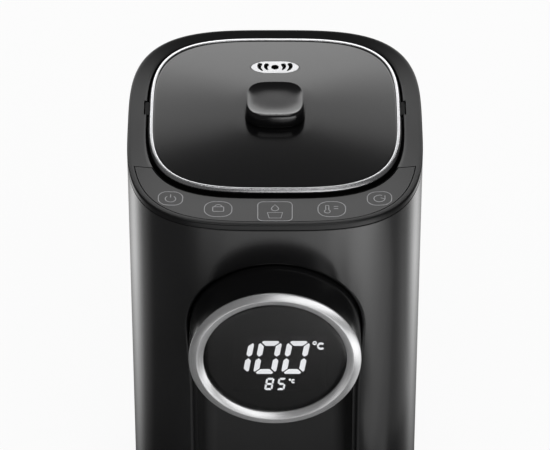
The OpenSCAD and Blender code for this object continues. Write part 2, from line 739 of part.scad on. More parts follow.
module digit(x, y, h, on) {
    t = 0.13 * h;
    a = 0.46 * h - t;
    b = (h - t) / 2;
    for (i = on) {
        c = digit_bars(h)[i];
        l = (c[2] == 1 ? b : a) / 2 - 0.03 * h;
        s = t / 2;
        shape = [[-l, 0], [s - l, s], [l - s, s], [l, 0], [l - s, -s], [s - l, -s]];
        polygon([for (p = shape) let (q = c[2] == 1 ? [c[0] + p[1], c[1] + p[0]] : [c[0] + p[0], c[1] + p[1]])
            [x + q[0] + digit_lean * q[1], y + q[1]]]);
    }
}

// Degree sign and C, of height h, from x on
module degrees(x, y, h) {
    translate([x, y + h * 0.42]) difference() {
        circle(h * 0.16);
        circle(h * 0.09);
    }
    translate([x + h * 0.68, y]) difference() {
        circle(h * 0.42);
        circle(h * 0.26);
        translate([h * 0.1, -h * 0.2]) square([h, h * 0.4]);
    }
}

zero_bars = [0, 1, 2, 3, 4, 5];

module display_digits() color("white") translate([0, glass_back + digit_t + run, axis_z]) rotate([90, 0, 0])
    linear_extrude(digit_t) {
        digit(-0.83 * digit_h + 1, 0, digit_h, [1, 2]);
        for (x = [-0.18, 0.45]) digit(x * digit_h, 0, digit_h, zero_bars);
        digit(-0.38 * small_h, -2.13 * small_h, small_h, [0, 1, 2, 3, 4, 5, 6]);
        digit(0.38 * small_h, -2.13 * small_h, small_h, [0, 2, 3, 5, 6]);
        degrees(0.87 * digit_h, 0.35 * digit_h, 0.24 * digit_h);
        degrees(0.9 * small_h, -1.8 * small_h, 0.34 * small_h);
    }

module display_holder() color("#1c1c1e") snout_way(holder_front) difference() {
    union() {
        cylinder(r = glass_r - 1, h = holder_t);
        translate([0, 0, 1]) cylinder(r = snout_r - snout_wall - seat, h = 2);
    }
    translate([-30, -18, -1]) cube([66, 52, holder_t - 1]);
}

module display_board() color("#2c6e49") snout_way(board_front) difference() {
    cylinder(r = snout_r - snout_wall - 5, h = board_t);
    for (a = [0 : 90 : 270]) rotate(a + 45) translate([snout_r - snout_wall - 9, 0, -1]) cylinder(r = 1.6, h = 4);
}

module bay_liner() color("#161618") difference() {
    slab(shell_z + seat, axis_z) difference() {
        intersection() {
            bay_solid();
            plan(hw, hd);
        }
        bay_space();
    }
    snout_way(-hd - 9) cylinder(r = snout_r + seat, h = 60);
}

module spout_nozzle() color("#101010") translate([0, nozzle_y, 0]) rotate_extrude() polygon([
    [nozzle_bore, nozzle_z], [nozzle_r - 1.6, nozzle_z], [nozzle_r, nozzle_z + 5], [nozzle_r, nozzle_seat_z],
    [nozzle_flange_r, nozzle_seat_z], [nozzle_flange_r, nozzle_seat_z + 2.5], [stub_r, nozzle_seat_z + 2.5],
    [stub_r, nozzle_top], [stub_bore, nozzle_top], [stub_bore, nozzle_seat_z + 2], [nozzle_bore, nozzle_seat_z]]);

module riser_hose() color("#e8e6df") tube(hose_path, hose_r, [0, 0, 1]);

module wire_harness() color("#b03030") tube(wire_path, wire_r, [1, 0, 0], 8);

// ---- Tank ----

neck_z = tank_top - neck_h;
shoulder_z = neck_z - shoulder_h;

// Quarter of the tank's lower edge, seen in section, for the radius r
function edge_arc(r) = [for (a = [0 : 15 : 90])
    [tank_r - tank_edge_r + r * sin(a), tank_z + tank_edge_r - r * cos(a)]];
function back_to_front(v) = [for (i = [len(v) - 1 : -1 : 0]) v[i]];

module inner_tank() color("silver") at_tank() rotate_extrude() polygon(concat(
    [[stub_r, tank_z - tank_stub_h], [stub_r, tank_z]],
    edge_arc(tank_edge_r),
    [[tank_r, shoulder_z], [tank_r - tank_wall, shoulder_z]],
    back_to_front(edge_arc(tank_edge_r - tank_wall)),
    [[stub_bore, tank_z + tank_wall], [stub_bore, tank_z - tank_stub_h]]));

// Shoulder, neck and mouth flange, welded onto the drawn tank
module tank_collar() color("silver") at_tank() rotate_extrude() polygon([
    [tank_r, shoulder_z + seat], [mouth_r + tank_wall, neck_z], [mouth_r + tank_wall, tank_top - tank_wall],
    [seal_out, tank_top - tank_wall], [seal_out, tank_top], [mouth_r, tank_top], [mouth_r, neck_z],
    [tank_r - tank_wall, shoulder_z + seat]]);

module tank_seal() color("#d8d8d0") at_tank() rotate_extrude() polygon([
    [seal_in, tank_top + seat], [seal_out, tank_top + seat], [seal_out + 1.5, tank_top + seat - 1.4],
    [seal_out + 2.5, tank_top + seat], [seal_out + 2.5, well_under - seat], [seal_in, well_under - seat]]);

module tank_strainer() color("silver") at_tank() translate([0, 0, tank_z + tank_wall]) difference() {
    union() {
        cylinder(r = 10, h = 1);
        cylinder(r = 8, h = 6);
        translate([0, 0, 6 - eps]) cylinder(r1 = 8, r2 = 6, h = 2);
    }
    translate([0, 0, -1]) cylinder(r = stub_bore, h = 3);
    translate([0, 0, 1]) cylinder(r = 7.2, h = 4.8);
    for (a = [0 : 30 : 330]) rotate(a) translate([4, -0.6, 2]) cube([8, 1.2, 3]);
}

module thermal_jacket() color("#c9c5bb") at_tank() ring(jacket_out, jacket_r, tank_z + 4, shoulder_z - 4);

module boil_heater() color("#9a9a9c") at_tank() {
    ring(heater_r, heater_in, heater_z, tank_z - seat);
    for (x = [-6, 6]) translate([x, -heater_r + 8, heater_z - 7]) cylinder(r = 2.2, h = 7);
}

module warm_heater() color("#b08d57") at_tank()
    ring(warm_r + warm_t, warm_r, tank_z + tank_edge_r + 6, tank_z + tank_edge_r + 6 + warm_h);

module thermal_cutouts() color("silver") at_tank() for (s = [-1, 1])
    translate([s * (heater_r + heater_in) / 2, 0, heater_z - seat - 6]) {
        cylinder(r = 7.5, h = 6);
        translate([0, 0, -3]) cylinder(r = 4, h = 3);
    }

module temperature_sensor() color("silver") at_tank() rotate(60)
    translate([heater_r + sensor_r + 1, 0, tank_z - seat - 12]) {
        cylinder(r = 2.5, h = 12);
        translate([0, 0, 9]) cylinder(r = sensor_r, h = 3);
    }

// ---- Pump ----

module ear_spots() for (a = [60, 180, 300]) rotate(a) translate([ear_ring, 0, 0]) children();

module pump_housing() color("#e8e6df") at_tank() {
    difference() {
        union() {
            translate([0, 0, pump_z]) cylinder(r = pump_r, h = pump_h);
            ear_spots() translate([0, 0, pump_top - 8]) cylinder(r = ear_r, h = 8);
            translate([0, 0, outlet_z]) rotate([0, 90, 0]) cylinder(r = stub_r, h = pump_r + outlet_l - seat);
        }
        translate([0, 0, pump_z - 1]) cylinder(r = magnet_r + 0.6, h = magnet_top - pump_z + 1);
        translate([0, 0, chamber_z]) cylinder(r = chamber_r, h = pump_h);
        translate([chamber_r - 3, 0, outlet_z]) rotate([0, 90, 0]) cylinder(r = stub_bore, h = pump_r + outlet_l);
        ear_spots() translate([0, 0, pump_top - 9]) cylinder(r = screw_r + run, h = 10);
    }
    translate([0, 0, chamber_z - 1]) cylinder(r = spindle_r, h = pump_top - chamber_z);
}

module pump_cover() color("#e8e6df") at_tank() difference() {
    union() {
        translate([0, 0, pump_top + seat]) cylinder(r = pump_r, h = pump_cover_t);
        ear_spots() translate([0, 0, pump_top + seat]) cylinder(r = ear_r, h = pump_cover_t);
        translate([0, 0, pump_top + seat]) cylinder(r = stub_r, h = pump_cover_t + pump_stub_h);
    }
    translate([0, 0, pump_top - 1]) cylinder(r = stub_bore, h = pump_stub_h + 6);
    ear_spots() translate([0, 0, pump_top - 1]) cylinder(r = screw_r + run, h = pump_cover_t + 3);
}

module pump_screws() color("silver") at_tank() ear_spots()
    screw(screw_r, pump_top - 7, pump_cover_top, 2.8, 1.8);

module pump_motor() color("#8d8d90") at_tank() difference() {
    union() {
        translate([0, 0, motor_z]) cylinder(r = motor_r, h = motor_h);
        translate([0, 0, motor_top]) cylinder(r = 4.5, h = 1.6);
        for (s = [-1, 1]) translate([s * 8 - 1.5, -0.4, motor_z - 4]) cube([3, 0.8, 4.5]);
    }
    translate([0, 0, motor_top - 18]) cylinder(r = shaft_r + run, h = 24);
}

module motor_rotor() color("#55504a") at_tank() {
    translate([0, 0, motor_top - 17]) cylinder(r = shaft_r, h = magnet_top - motor_top + 13);
    difference() {
        translate([0, 0, magnet_top - 6.5]) cylinder(r = magnet_r, h = 6);
        for (a = [0 : 90 : 270]) rotate(a + 45) translate([magnet_r - 4, 0, magnet_top - 1.5]) cylinder(r = 1.5, h = 2);
    }
}

module pump_impeller() color("white") at_tank() translate([0, 0, chamber_z]) difference() {
    union() {
        translate([0, 0, 0.8]) cylinder(r = magnet_r - 0.5, h = 3);
        translate([0, 0, 0.8]) cylinder(r = 3, h = 7.2);
        for (i = [0 : blades - 1]) rotate(360 * i / blades) translate([2.4, -0.6, 3.6]) rotate(18)
            cube([magnet_r - 5, 1.2, 4.4]);
    }
    translate([0, 0, -1]) cylinder(r = spindle_r + run, h = 12);
}

module inlet_sleeve() color("#d8d8d0") at_tank()
    ring(stub_r + 2, stub_r + run, pump_cover_top + 0.5, tank_z - 1);

// ---- Lid ----

module at_vent() translate([0, vent_y, 0]) children();

module lid_boss_spots() for (x = [-1, 1]) for (y = [-1, 1])
    translate([x * tray_hw * 0.72, lid_y + y * tray_hd * 0.69, 0]) children();

ledge_z = ring_z - 3;
ledge_w = 2;
lid_head_h = 1.4;

// Dome of the lid, lowered and drawn in by d
module lid_dome(d, base) stack(concat([[shell_hw - d, shell_hd - d, base, lid_y]],
    [for (s = [1, 0.985, 0.9, 0.75, 0.55, dome_flat]) [(shell_hw - d) * s, (shell_hd - d) * s,
        shell_edge_z - d + (s == 1 ? -0.4 : dome_h * (1 - s * s)), lid_y]]));

module lid_shell() color("#121214") difference() {
    union() {
        difference() {
            lid_dome(0, ledge_z + seat);
            lid_dome(lid_wall, ledge_z - 1);
        }
        lid_boss_spots() translate([0, 0, tray_floor + seat]) cylinder(r = boss_r, h = shell_edge_z - tray_floor - 1.6);
    }
    lid_boss_spots() translate([0, 0, tray_floor - 1]) cylinder(r = screw_r + run, h = 10);
    at_tank() translate([0, 0, ledge_z]) cylinder(r = 2 + run, h = 20);
    at_vent() slab(vent_z - run, vent_z + 9) stadium(vent_l + 1.6, vent_w + 1.6);
    at_vent() slab(ledge_z, vent_z + 1) stadium(vent_l - 8, vent_w - 6);
}

module lid_ring() color("silver") band([for (l = [[0, 0], [0, ring_h - 0.9], [0.3, ring_h - 0.3],
    [0.9, ring_h], [ring_w - 0.4, ring_h], [ring_w, ring_h - 0.4], [ring_w, 0]])
    [lid_hw - l[0], lid_hd - l[0], ring_z + l[1], lid_y]]);

module lid_tray() color("#1b1b1d") difference() {
    union() {
        slab(tray_z, ring_z) plan(tray_hw, tray_hd, lid_y);
        at_tank() translate([0, 0, plug_z]) cylinder(r = plug_r, h = tray_z - plug_z + 1);
        for (s = [-1, 1]) translate([s * (well_hw + notch_d - 2 * pass - 4), lid_y + notch_shift,
            (rim_z - notch_h + pass + ring_z) / 2])
            cube([8, notch_l - 4 * pass, ring_z - rim_z + notch_h - pass], center = true);
    }
    slab(tray_floor, ledge_z) plan(tray_hw - tray_wall - ledge_w, tray_hd - tray_wall - ledge_w, lid_y);
    slab(ledge_z, ring_z + 1) plan(shell_hw + pass, shell_hd + pass, lid_y);
    at_tank() translate([0, 0, plug_z - 1]) cylinder(r = plug_r - plug_wall, h = tray_floor - plug_z + 2);
    lid_boss_spots() {
        translate([0, 0, tray_z - 1]) cylinder(r = screw_r + run, h = 6);
        translate([0, 0, tray_z - 1]) cylinder(r = 3.2, h = 1.2 + lid_head_h);
    }
}

module lid_screws() color("silver") lid_boss_spots()
    low_screw(screw_r, tray_floor + 7, tray_z + 0.2 + lid_head_h, 2.8, lid_head_h);

module lid_foam() color("#e6e2d6") difference() {
    union() {
        slab(tray_floor + seat, ledge_z) plan(tray_hw - tray_wall - ledge_w - seat, tray_hd - tray_wall - ledge_w - seat, lid_y);
        at_tank() translate([0, 0, plug_z + seat]) cylinder(r = plug_r - plug_wall - seat, h = tray_floor - plug_z + 1);
    }
    at_vent() translate([0, 0, plug_z - 1]) cylinder(r = duct_r + duct_wall + seat, h = 40);
    lid_boss_spots() translate([0, 0, tray_floor - 1]) cylinder(r = boss_r + seat, h = 20);
}

module lid_inner_cover() color("silver") difference() {
    at_tank() rotate_extrude() polygon([[0, plug_z - cover_t - 1.2], [plug_r - 12, plug_z - cover_t - 1.2],
        [plug_r - 8, plug_z - cover_t], [plug_r, plug_z - cover_t], [plug_r, plug_z - seat], [0, plug_z - seat]]);
    at_vent() for (a = [0 : 60 : 300]) rotate(a) translate([4.6, 0, plug_z - 6]) cylinder(r = 1.3, h = 10);
}

module lid_gasket() color("#d8d8d0") at_tank() rotate_extrude() polygon([
    [plug_r + seat, plug_z + 1], [mouth_r - pass - 1.4, plug_z + 1.2], [mouth_r - pass, plug_z + 2.2],
    [mouth_r - pass - 1, plug_z + 3], [mouth_r - pass, plug_z + 4], [mouth_r - pass - 1.4, plug_z + 5],
    [plug_r + seat, plug_z + 5]]);

module steam_duct() color("#2a2a2c") at_vent() difference() {
    translate([0, 0, plug_z + seat]) cylinder(r = duct_r + duct_wall, h = duct_top - plug_z - seat);
    translate([0, 0, plug_z + cage_plate]) cylinder(r = duct_r, h = 2 * ball_r + ball_lift + 0.6);
    translate([0, 0, plug_z + 2 * cage_plate + 2 * ball_r + ball_lift + 0.6]) cylinder(r = duct_r, h = 40);
    translate([0, 0, plug_z + cage_plate]) cylinder(r = 3, h = 40);
    for (a = [0 : 60 : 300]) rotate(a) translate([4.6, 0, plug_z - 1]) cylinder(r = 1.3, h = 5);
}

module valve_ball() color("silver") translate([0, vent_y, ball_z]) sphere(r = ball_r);

module slot_arc(r, w, half) intersection() {
    difference() {
        circle(r + w / 2);
        circle(r - w / 2);
    }
    polygon([[0, 0], [2 * r * cos(half), 2 * r * sin(half)], [2 * r * cos(half), -2 * r * sin(half)]]);
}

module vent_plate() color("silver") at_vent() slab(vent_z, vent_z + vent_t) difference() {
    stadium(vent_l, vent_w);
    circle(2.6);
    for (a = [0, 180]) rotate(a) {
        slot_arc(6.5, 2.2, 35);
        slot_arc(11, 2.2, 25);
    }
}

module lid_knob() color("#161618") at_tank() difference() {
    stack([[knob_hw - 1.4, knob_hw - 1.4, knob_z, 0], [knob_hw - 1.4, knob_hw - 1.4, knob_z + 0.8, 0],
        [knob_hw, knob_hw, knob_z + 1.6, 0],
        [knob_hw - knob_draw * 0.2, knob_hw - knob_draw * 0.25, knob_z + knob_h * 0.5, 0],
        [knob_hw - knob_draw * 0.42, knob_hw - knob_draw * 0.55, knob_z + knob_h - 1.6, 0],
        [knob_hw - knob_draw * 0.6, knob_hw - knob_draw * 0.75, knob_z + knob_h - 0.5, 0],
        [knob_hw - knob_draw * 0.8, knob_hw - knob_draw, knob_z + knob_h, 0]], knob_power, 64);
    ball = (dish_r * dish_r + dish_h * dish_h) / (2 * dish_h);
    translate([0, 0, knob_z + knob_h - dish_h + ball]) sphere(r = ball);
    translate([0, 0, knob_z - 1]) cylinder(r = 2 + run, h = 7);
}

module knob_screw() color("silver") at_tank()
    low_screw(2, knob_z + 5, dome_top - lid_wall - seat, 4, 2.2);

swivel_base();
rubber_ring();
swivel_retainer();
retainer_screw();
base_cover();
base_screws();
body_shell();
top_frame();
touch_panel();
touch_board();
touch_springs();
snout_housing();
display_ring();
display_glass();
display_digits();
display_holder();
display_board();
bay_liner();
spout_nozzle();
riser_hose();
inner_tank();
tank_collar();
tank_seal();
tank_strainer();
thermal_jacket();
boil_heater();
warm_heater();
thermal_cutouts();
temperature_sensor();
tank_support();
pump_housing();
pump_cover();
pump_screws();
pump_motor();
pump_bracket();
inlet_sleeve();
power_board();
board_parts();
board_screws();
power_inlet();
inlet_pins();
wire_harness();
lid_shell();
lid_ring();
lid_knob();
knob_screw();
vent_plate();
steam_duct();
lid_tray();
lid_foam();
lid_inner_cover();
lid_gasket();
lid_screws();
valve_ball();
motor_rotor();
pump_impeller();
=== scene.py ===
import json
import math
import bmesh
import bpy
from mathutils import Matrix, Vector
from mathutils.bvhtree import BVHTree


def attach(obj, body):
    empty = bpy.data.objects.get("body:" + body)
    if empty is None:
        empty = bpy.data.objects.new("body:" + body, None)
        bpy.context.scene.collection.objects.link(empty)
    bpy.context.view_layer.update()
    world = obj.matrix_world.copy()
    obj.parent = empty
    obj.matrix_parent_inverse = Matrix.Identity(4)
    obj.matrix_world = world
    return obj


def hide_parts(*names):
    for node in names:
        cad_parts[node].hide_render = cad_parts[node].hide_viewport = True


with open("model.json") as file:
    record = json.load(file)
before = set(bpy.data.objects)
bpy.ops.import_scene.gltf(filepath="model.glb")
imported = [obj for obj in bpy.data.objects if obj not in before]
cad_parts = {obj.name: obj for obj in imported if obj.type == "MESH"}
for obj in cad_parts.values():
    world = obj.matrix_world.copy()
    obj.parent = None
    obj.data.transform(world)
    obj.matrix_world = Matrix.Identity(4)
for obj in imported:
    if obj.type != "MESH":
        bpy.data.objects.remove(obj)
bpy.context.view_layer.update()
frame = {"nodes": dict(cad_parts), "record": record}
scene = bpy.context.scene
scene.view_settings.view_transform = "Standard"
mm = 0.001  # every size below is in millimetres
print("frame loaded:", len(frame["nodes"]), "nodes")


def asObject(name, bm):
    mesh = bpy.data.meshes.new(name)
    bm.to_mesh(mesh)
    bm.free()
    piece = bpy.data.objects.new(name, mesh)
    scene.collection.objects.link(piece)
    return piece


# Camera and light

cameraPlace = {"spot": (0, -2297.9, 2144.6), "tilt": 50.3, "lens": 268.8, "sensor": 36, "sight": 50000}


def placeCamera():
    lens = bpy.data.cameras.new("studioCamera")
    lens.lens = cameraPlace["lens"]
    lens.sensor_width = cameraPlace["sensor"]
    lens.clip_end = cameraPlace["sight"] * mm
    camera = bpy.data.objects.new("studioCamera", lens)
    camera.location = [c * mm for c in cameraPlace["spot"]]
    camera.rotation_euler = (math.radians(cameraPlace["tilt"]), 0, 0)
    scene.collection.objects.link(camera)
    scene.camera = camera


def floorBox(x, y, size, power):
    # lies just over the floor and shines up at the pot
    return {"spot": (x, y, 10), "lean": 180, "size": size, "power": power}


# Each soft box: where it stands, how far it leans from looking straight down, its two sides and its power
softBoxes = {
    "lowBank": {"spot": (0, 2075, 1061), "lean": -70.6, "size": (3200, 1123), "power": 33.5},
    "midBank": {"spot": (0, 1799.9, 1595), "lean": -54.9, "size": (3200, 128), "power": 3.15},
    "highBank": {"spot": (0, 1728.9, 1690.5), "lean": -51.8, "size": (3200, 107), "power": 0.93},
    "rightFirst": floorBox(285, -515, (350, 170), 0.617),
    "rightSecond": floorBox(325, -400, (270, 60), 0.168),
    "rightThird": floorBox(342, -340, (235, 80), 0.13),
    "rightFourth": floorBox(345, -265, (230, 70), 0.073),
    "rightLast": floorBox(305, -195, (310, 70), 0.062),
    "rightNear": floorBox(290, -135, (260, 50), 0.022),
    "rightBehind": floorBox(350, -60, (300, 200), 0.035),
    "rightFringe": floorBox(68, -500, (84, 200), 0.066),
    "frontPanel": floorBox(-88, -462, (264, 80), 0.038),
    "farPanel": floorBox(0, -752, (700, 490), 1.5),
    "topSheet": {"spot": (0, -700, 2300), "lean": 18.4, "size": (1500, 1100), "power": 16},
    "frontSheet": {"spot": (1300, -1900, 430), "lean": 90, "size": (2600, 860), "power": 18.5},
}


def placeLamps():
    for name, box in softBoxes.items():
        lamp = bpy.data.lights.new(name, "AREA")
        lamp.shape = "RECTANGLE"
        lamp.size, lamp.size_y = box["size"][0] * mm, box["size"][1] * mm
        lamp.energy = box["power"]
        holder = bpy.data.objects.new(name, lamp)
        holder.location = [c * mm for c in box["spot"]]
        holder.rotation_euler = (math.radians(box["lean"]), 0, 0)
        holder.visible_camera = False
        scene.collection.objects.link(holder)


studio = {"roomLight": 0.13, "floorHalf": 6000, "floorTone": 0.82, "paperShare": 0.93}
# painted light: how bright the floor looks in reflections, place by place, with painted shade near the pot's
# foot
paintedFloorLight = {"near": 0.025, "far": 1.8, "rest": 0.08,
              "centre": (95, -60), "rise": (14, 310), "fade": (420, 600)}
paintedLightFan = ((14, 0.25), (36, 1), (65, 0.25), (90, 0.06))  # degrees off straight back, share of the far painted light


def wire(tree, node, values):
    # a socket takes a plain value or another node's output
    for socket, value in values.items():
        if isinstance(value, bpy.types.NodeSocket):
            tree.links.new(value, node.inputs[socket])
        else:
            node.inputs[socket].default_value = value
    return node


def addNode(tree, kind, values=None):
    return wire(tree, tree.nodes.new("ShaderNode" + kind), values or {})


def addMath(tree, operation, *values):
    node = addNode(tree, "Math")
    node.operation = operation
    return wire(tree, node, dict(enumerate(values))).outputs[0]


def lightRoom():
    world = bpy.data.worlds.new("studioRoom")
    scene.world = world
    world.use_nodes = True
    tree = world.node_tree
    tree.nodes.clear()
    fill = addNode(tree, "Background", {"Color": (1, 1, 1, 1), "Strength": studio["roomLight"]})
    paper = addNode(tree, "Background", {"Color": (1, 1, 1, 1), "Strength": 1})
    seen = addNode(tree, "LightPath").outputs["Is Camera Ray"]
    mix = addNode(tree, "MixShader", {0: seen, 1: fill.outputs[0], 2: paper.outputs[0]})
    addNode(tree, "OutputWorld", {0: mix.outputs[0]})


def spread(tree, source, low, high, fromLow=0.3, fromHigh=0.7):
    band = {"Value": source, "From Min": fromLow, "From Max": fromHigh, "To Min": low, "To Max": high}
    return addNode(tree, "MapRange", band).outputs["Result"]


def paintedFloorGlow(tree):
    # painted light on the floor, seen only in reflections: a glow that fans out behind the pot to both
    # sides, with painted shade near its foot, and dims far away
    place = addNode(tree, "SeparateXYZ", {0: addNode(tree, "TexCoord").outputs["Object"]})
    side = addMath(tree, "ABSOLUTE", place.outputs["X"])
    across = addMath(tree, "SUBTRACT", side, paintedFloorLight["centre"][0] * mm)
    back = addMath(tree, "SUBTRACT", place.outputs["Y"], paintedFloorLight["centre"][1] * mm)
    turn = addMath(tree, "DIVIDE", addMath(tree, "ARCTAN2", across, back), math.radians(90))
    fan = addNode(tree, "ValToRGB", {"Fac": turn})
    fan.color_ramp.interpolation = "EASE"
    while len(fan.color_ramp.elements) < len(paintedLightFan):
        fan.color_ramp.elements.new(0.5)
    for stop, (degrees, share) in zip(fan.color_ramp.elements, paintedLightFan):
        stop.position = degrees / 90
        stop.color = (share, share, share, 1)
    squares = [addMath(tree, "MULTIPLY", way, way) for way in (across, back)]
    reach = addMath(tree, "SQRT", addMath(tree, "ADD", *squares))
    rise = spread(tree, reach, 0, paintedFloorLight["far"], *[edge * mm for edge in paintedFloorLight["rise"]])
    fade = spread(tree, reach, 1, paintedFloorLight["rest"], *[edge * mm for edge in paintedFloorLight["fade"]])
    # painted light: the fan's share times a glow that rises away from the pot's foot (painted shade near it)
    # and fades far off
    paintedBright = addMath(tree, "MULTIPLY", addMath(tree, "MULTIPLY", fan.outputs["Color"], rise), fade)
    return addMath(tree, "ADD", paintedBright, paintedFloorLight["near"])


def layFloor():
    bm = bmesh.new()
    bmesh.ops.create_grid(bm, x_segments=8, y_segments=8, size=studio["floorHalf"] * mm)
    floor = asObject("studioFloor", bm)
    paper = bpy.data.materials.new("floorPaper")
    paper.use_nodes = True
    tree = paper.node_tree
    tree.nodes.clear()
    card = addNode(tree, "BsdfDiffuse", {"Color": (studio["floorTone"],) * 3 + (1,)})
    path = addNode(tree, "LightPath").outputs
    # rays that metal, gloss and glass send on
    mirrored = addMath(tree, "MAXIMUM", path["Is Glossy Ray"], path["Is Transmission Ray"])
    seen = addMath(tree, "MULTIPLY_ADD", path["Is Camera Ray"], studio["paperShare"], mirrored)
    # plain white for the camera itself, and the painted floor glow in the reflections of metal, gloss and
    # glass
    strength = {"Value": path["Is Camera Ray"], "To Min": paintedFloorGlow(tree), "To Max": 1}
    shine = addNode(tree, "Emission", {"Strength": addNode(tree, "MapRange", strength).outputs["Result"]})
    mix = addNode(tree, "MixShader", {0: seen, 1: card.outputs[0], 2: shine.outputs[0]})
    addNode(tree, "OutputMaterial", {0: mix.outputs[0]})
    floor.data.materials.append(paper)


placeCamera()
placeLamps()
lightRoom()
layFloor()
print("studio ready")

# Finishes


def finishTree(name):
    finish = bpy.data.materials.new(name)
    finish.use_nodes = True
    tree = finish.node_tree
    place = addNode(tree, "TexCoord").outputs["Object"]
    return finish, tree, tree.nodes["Principled BSDF"], place


def grain(tree, place, scale, detail=2.0, rough=0.5, stretch=None):
    if stretch:
        place = addNode(tree, "Mapping", {"Scale": stretch, "Vector": place}).outputs["Vector"]
    noise = {"Scale": scale, "Detail": detail, "Roughness": rough, "Vector": place}
    return addNode(tree, "TexNoise", noise).outputs["Fac"]


def tint(tree, source, dark, pale, low=0.3, high=0.7):
    ramp = addNode(tree, "ValToRGB", {"Fac": source})
    for stop, spot, tone in zip(ramp.color_ramp.elements, (low, high), (dark, pale)):
        stop.position = spot
        stop.color = (*tone, 1)
    return ramp.outputs["Color"]


def shade(tree, source, tone, darker, paler):
    return tint(tree, source, [c * darker for c in tone], [min(1, c * paler) for c in tone])


def roughen(tree, shader, height, strength, depth):
    bump = addNode(tree, "Bump", {"Strength": strength, "Distance": depth * mm, "Height": height})
    wire(tree, shader, {"Normal": bump.outputs["Normal"]})


def mouldedPlastic(name, tone, rough, grit=1800, gritDepth=0.02, gloss=0.5, shift=0.12):
    finish, tree, shader, place = finishTree(name)
    broad = grain(tree, place, 22, 3)
    fine = grain(tree, place, grit, 3, 0.6)
    wire(tree, shader, {"Base Color": shade(tree, broad, tone, 1 - shift, 1 + shift),
                        "Roughness": spread(tree, fine, rough * 0.92, rough * 1.08),
                        "Specular IOR Level": gloss})
    roughen(tree, shader, fine, 0.35, gritDepth)
    return finish


def drawnMetal(name, tone, rough, stretch, scale=900, depth=0.006, shift=0.06):
    finish, tree, shader, place = finishTree(name)
    lines = grain(tree, place, scale, 4, 0.6, stretch)
    cloud = grain(tree, place, 30, 3)
    wire(tree, shader, {"Base Color": shade(tree, cloud, tone, 1 - shift, 1 + shift),
                        "Roughness": spread(tree, lines, rough * 0.9, rough * 1.12),
                        "Metallic": 1})
    roughen(tree, shader, lines, 0.4, depth)
    return finish


def turnedMetal(name, tone, rough, centre, flat, scale=700, depth=0.008, metal=1.0):
    # lathe rings: noise along the distance from the piece's axis, whose own direction flat leaves out
    finish, tree, shader, place = finishTree(name)
    shift = [-c * mm * f for c, f in zip(centre, flat)]
    move = addNode(tree, "Mapping", {"Location": shift, "Scale": flat, "Vector": place})
    reach = addNode(tree, "VectorMath", {0: move.outputs["Vector"]})
    reach.operation = "LENGTH"
    rings = addNode(tree, "TexNoise")
    rings.noise_dimensions = "1D"
    wire(tree, rings, {"Scale": scale, "Detail": 5, "Roughness": 0.7, "W": reach.outputs["Value"]})
    lines = rings.outputs["Fac"]
    wire(tree, shader, {"Base Color": shade(tree, grain(tree, place, 40, 2), tone, 0.94, 1.05),
                        "Roughness": spread(tree, lines, rough * 0.94, rough * 1.07),
                        "Metallic": metal})
    roughen(tree, shader, lines, 0.5, depth)
    return finish


def smokedGlass(name):
    finish, tree, shader, place = finishTree(name)
    smear = grain(tree, place, 60, 3)
    wire(tree, shader, {"Base Color": tint(tree, smear, (0.088, 0.088, 0.09), (0.10, 0.10, 0.102)),
                        "Roughness": spread(tree, smear, 0.02, 0.035),
                        "Transmission Weight": 1, "IOR": 1.05, "Coat Weight": 0.5, "Coat Roughness": 0.25})
    return finish


def litDigits(name):
    finish, tree, shader, place = finishTree(name)
    glow = tint(tree, grain(tree, place, 900, 1), (0.93, 0.95, 0.97), (1.0, 1.0, 1.0))
    wire(tree, shader, {"Base Color": glow, "Roughness": 0.5,
                        "Emission Color": glow, "Emission Strength": 8.3})
    return finish


def circuitBoard(name):
    finish, tree, shader, place = finishTree(name)
    greens = {"Color1": (0.008, 0.085, 0.035, 1), "Color2": (0.012, 0.11, 0.05, 1)}
    copper = {"Mortar": (0.03, 0.2, 0.09, 1), "Mortar Size": 0.03}
    tracks = addNode(tree, "TexBrick", {"Scale": 260, "Vector": place, **greens, **copper})
    wire(tree, shader, {"Base Color": tracks.outputs["Color"],
                        "Roughness": spread(tree, grain(tree, place, 700, 2), 0.28, 0.42)})
    roughen(tree, shader, tracks.outputs["Fac"], 0.3, 0.03)
    return finish


def paleWadding(name, tone):
    finish, tree, shader, place = finishTree(name)
    fluff = grain(tree, place, 500, 6, 0.75)
    wire(tree, shader, {"Base Color": shade(tree, fluff, tone, 0.78, 1.12),
                        "Roughness": 0.95, "Specular IOR Level": 0.2})
    roughen(tree, shader, fluff, 0.7, 0.35)
    return finish


def micaSheet(name):
    finish, tree, shader, place = finishTree(name)
    flakes = addNode(tree, "TexVoronoi", {"Scale": 320, "Vector": place}).outputs["Distance"]
    wire(tree, shader, {"Base Color": tint(tree, flakes, (0.44, 0.29, 0.13), (0.62, 0.45, 0.24), 0.1, 0.8),
                        "Roughness": spread(tree, flakes, 0.3, 0.6)})
    roughen(tree, shader, flakes, 0.3, 0.05)
    return finish


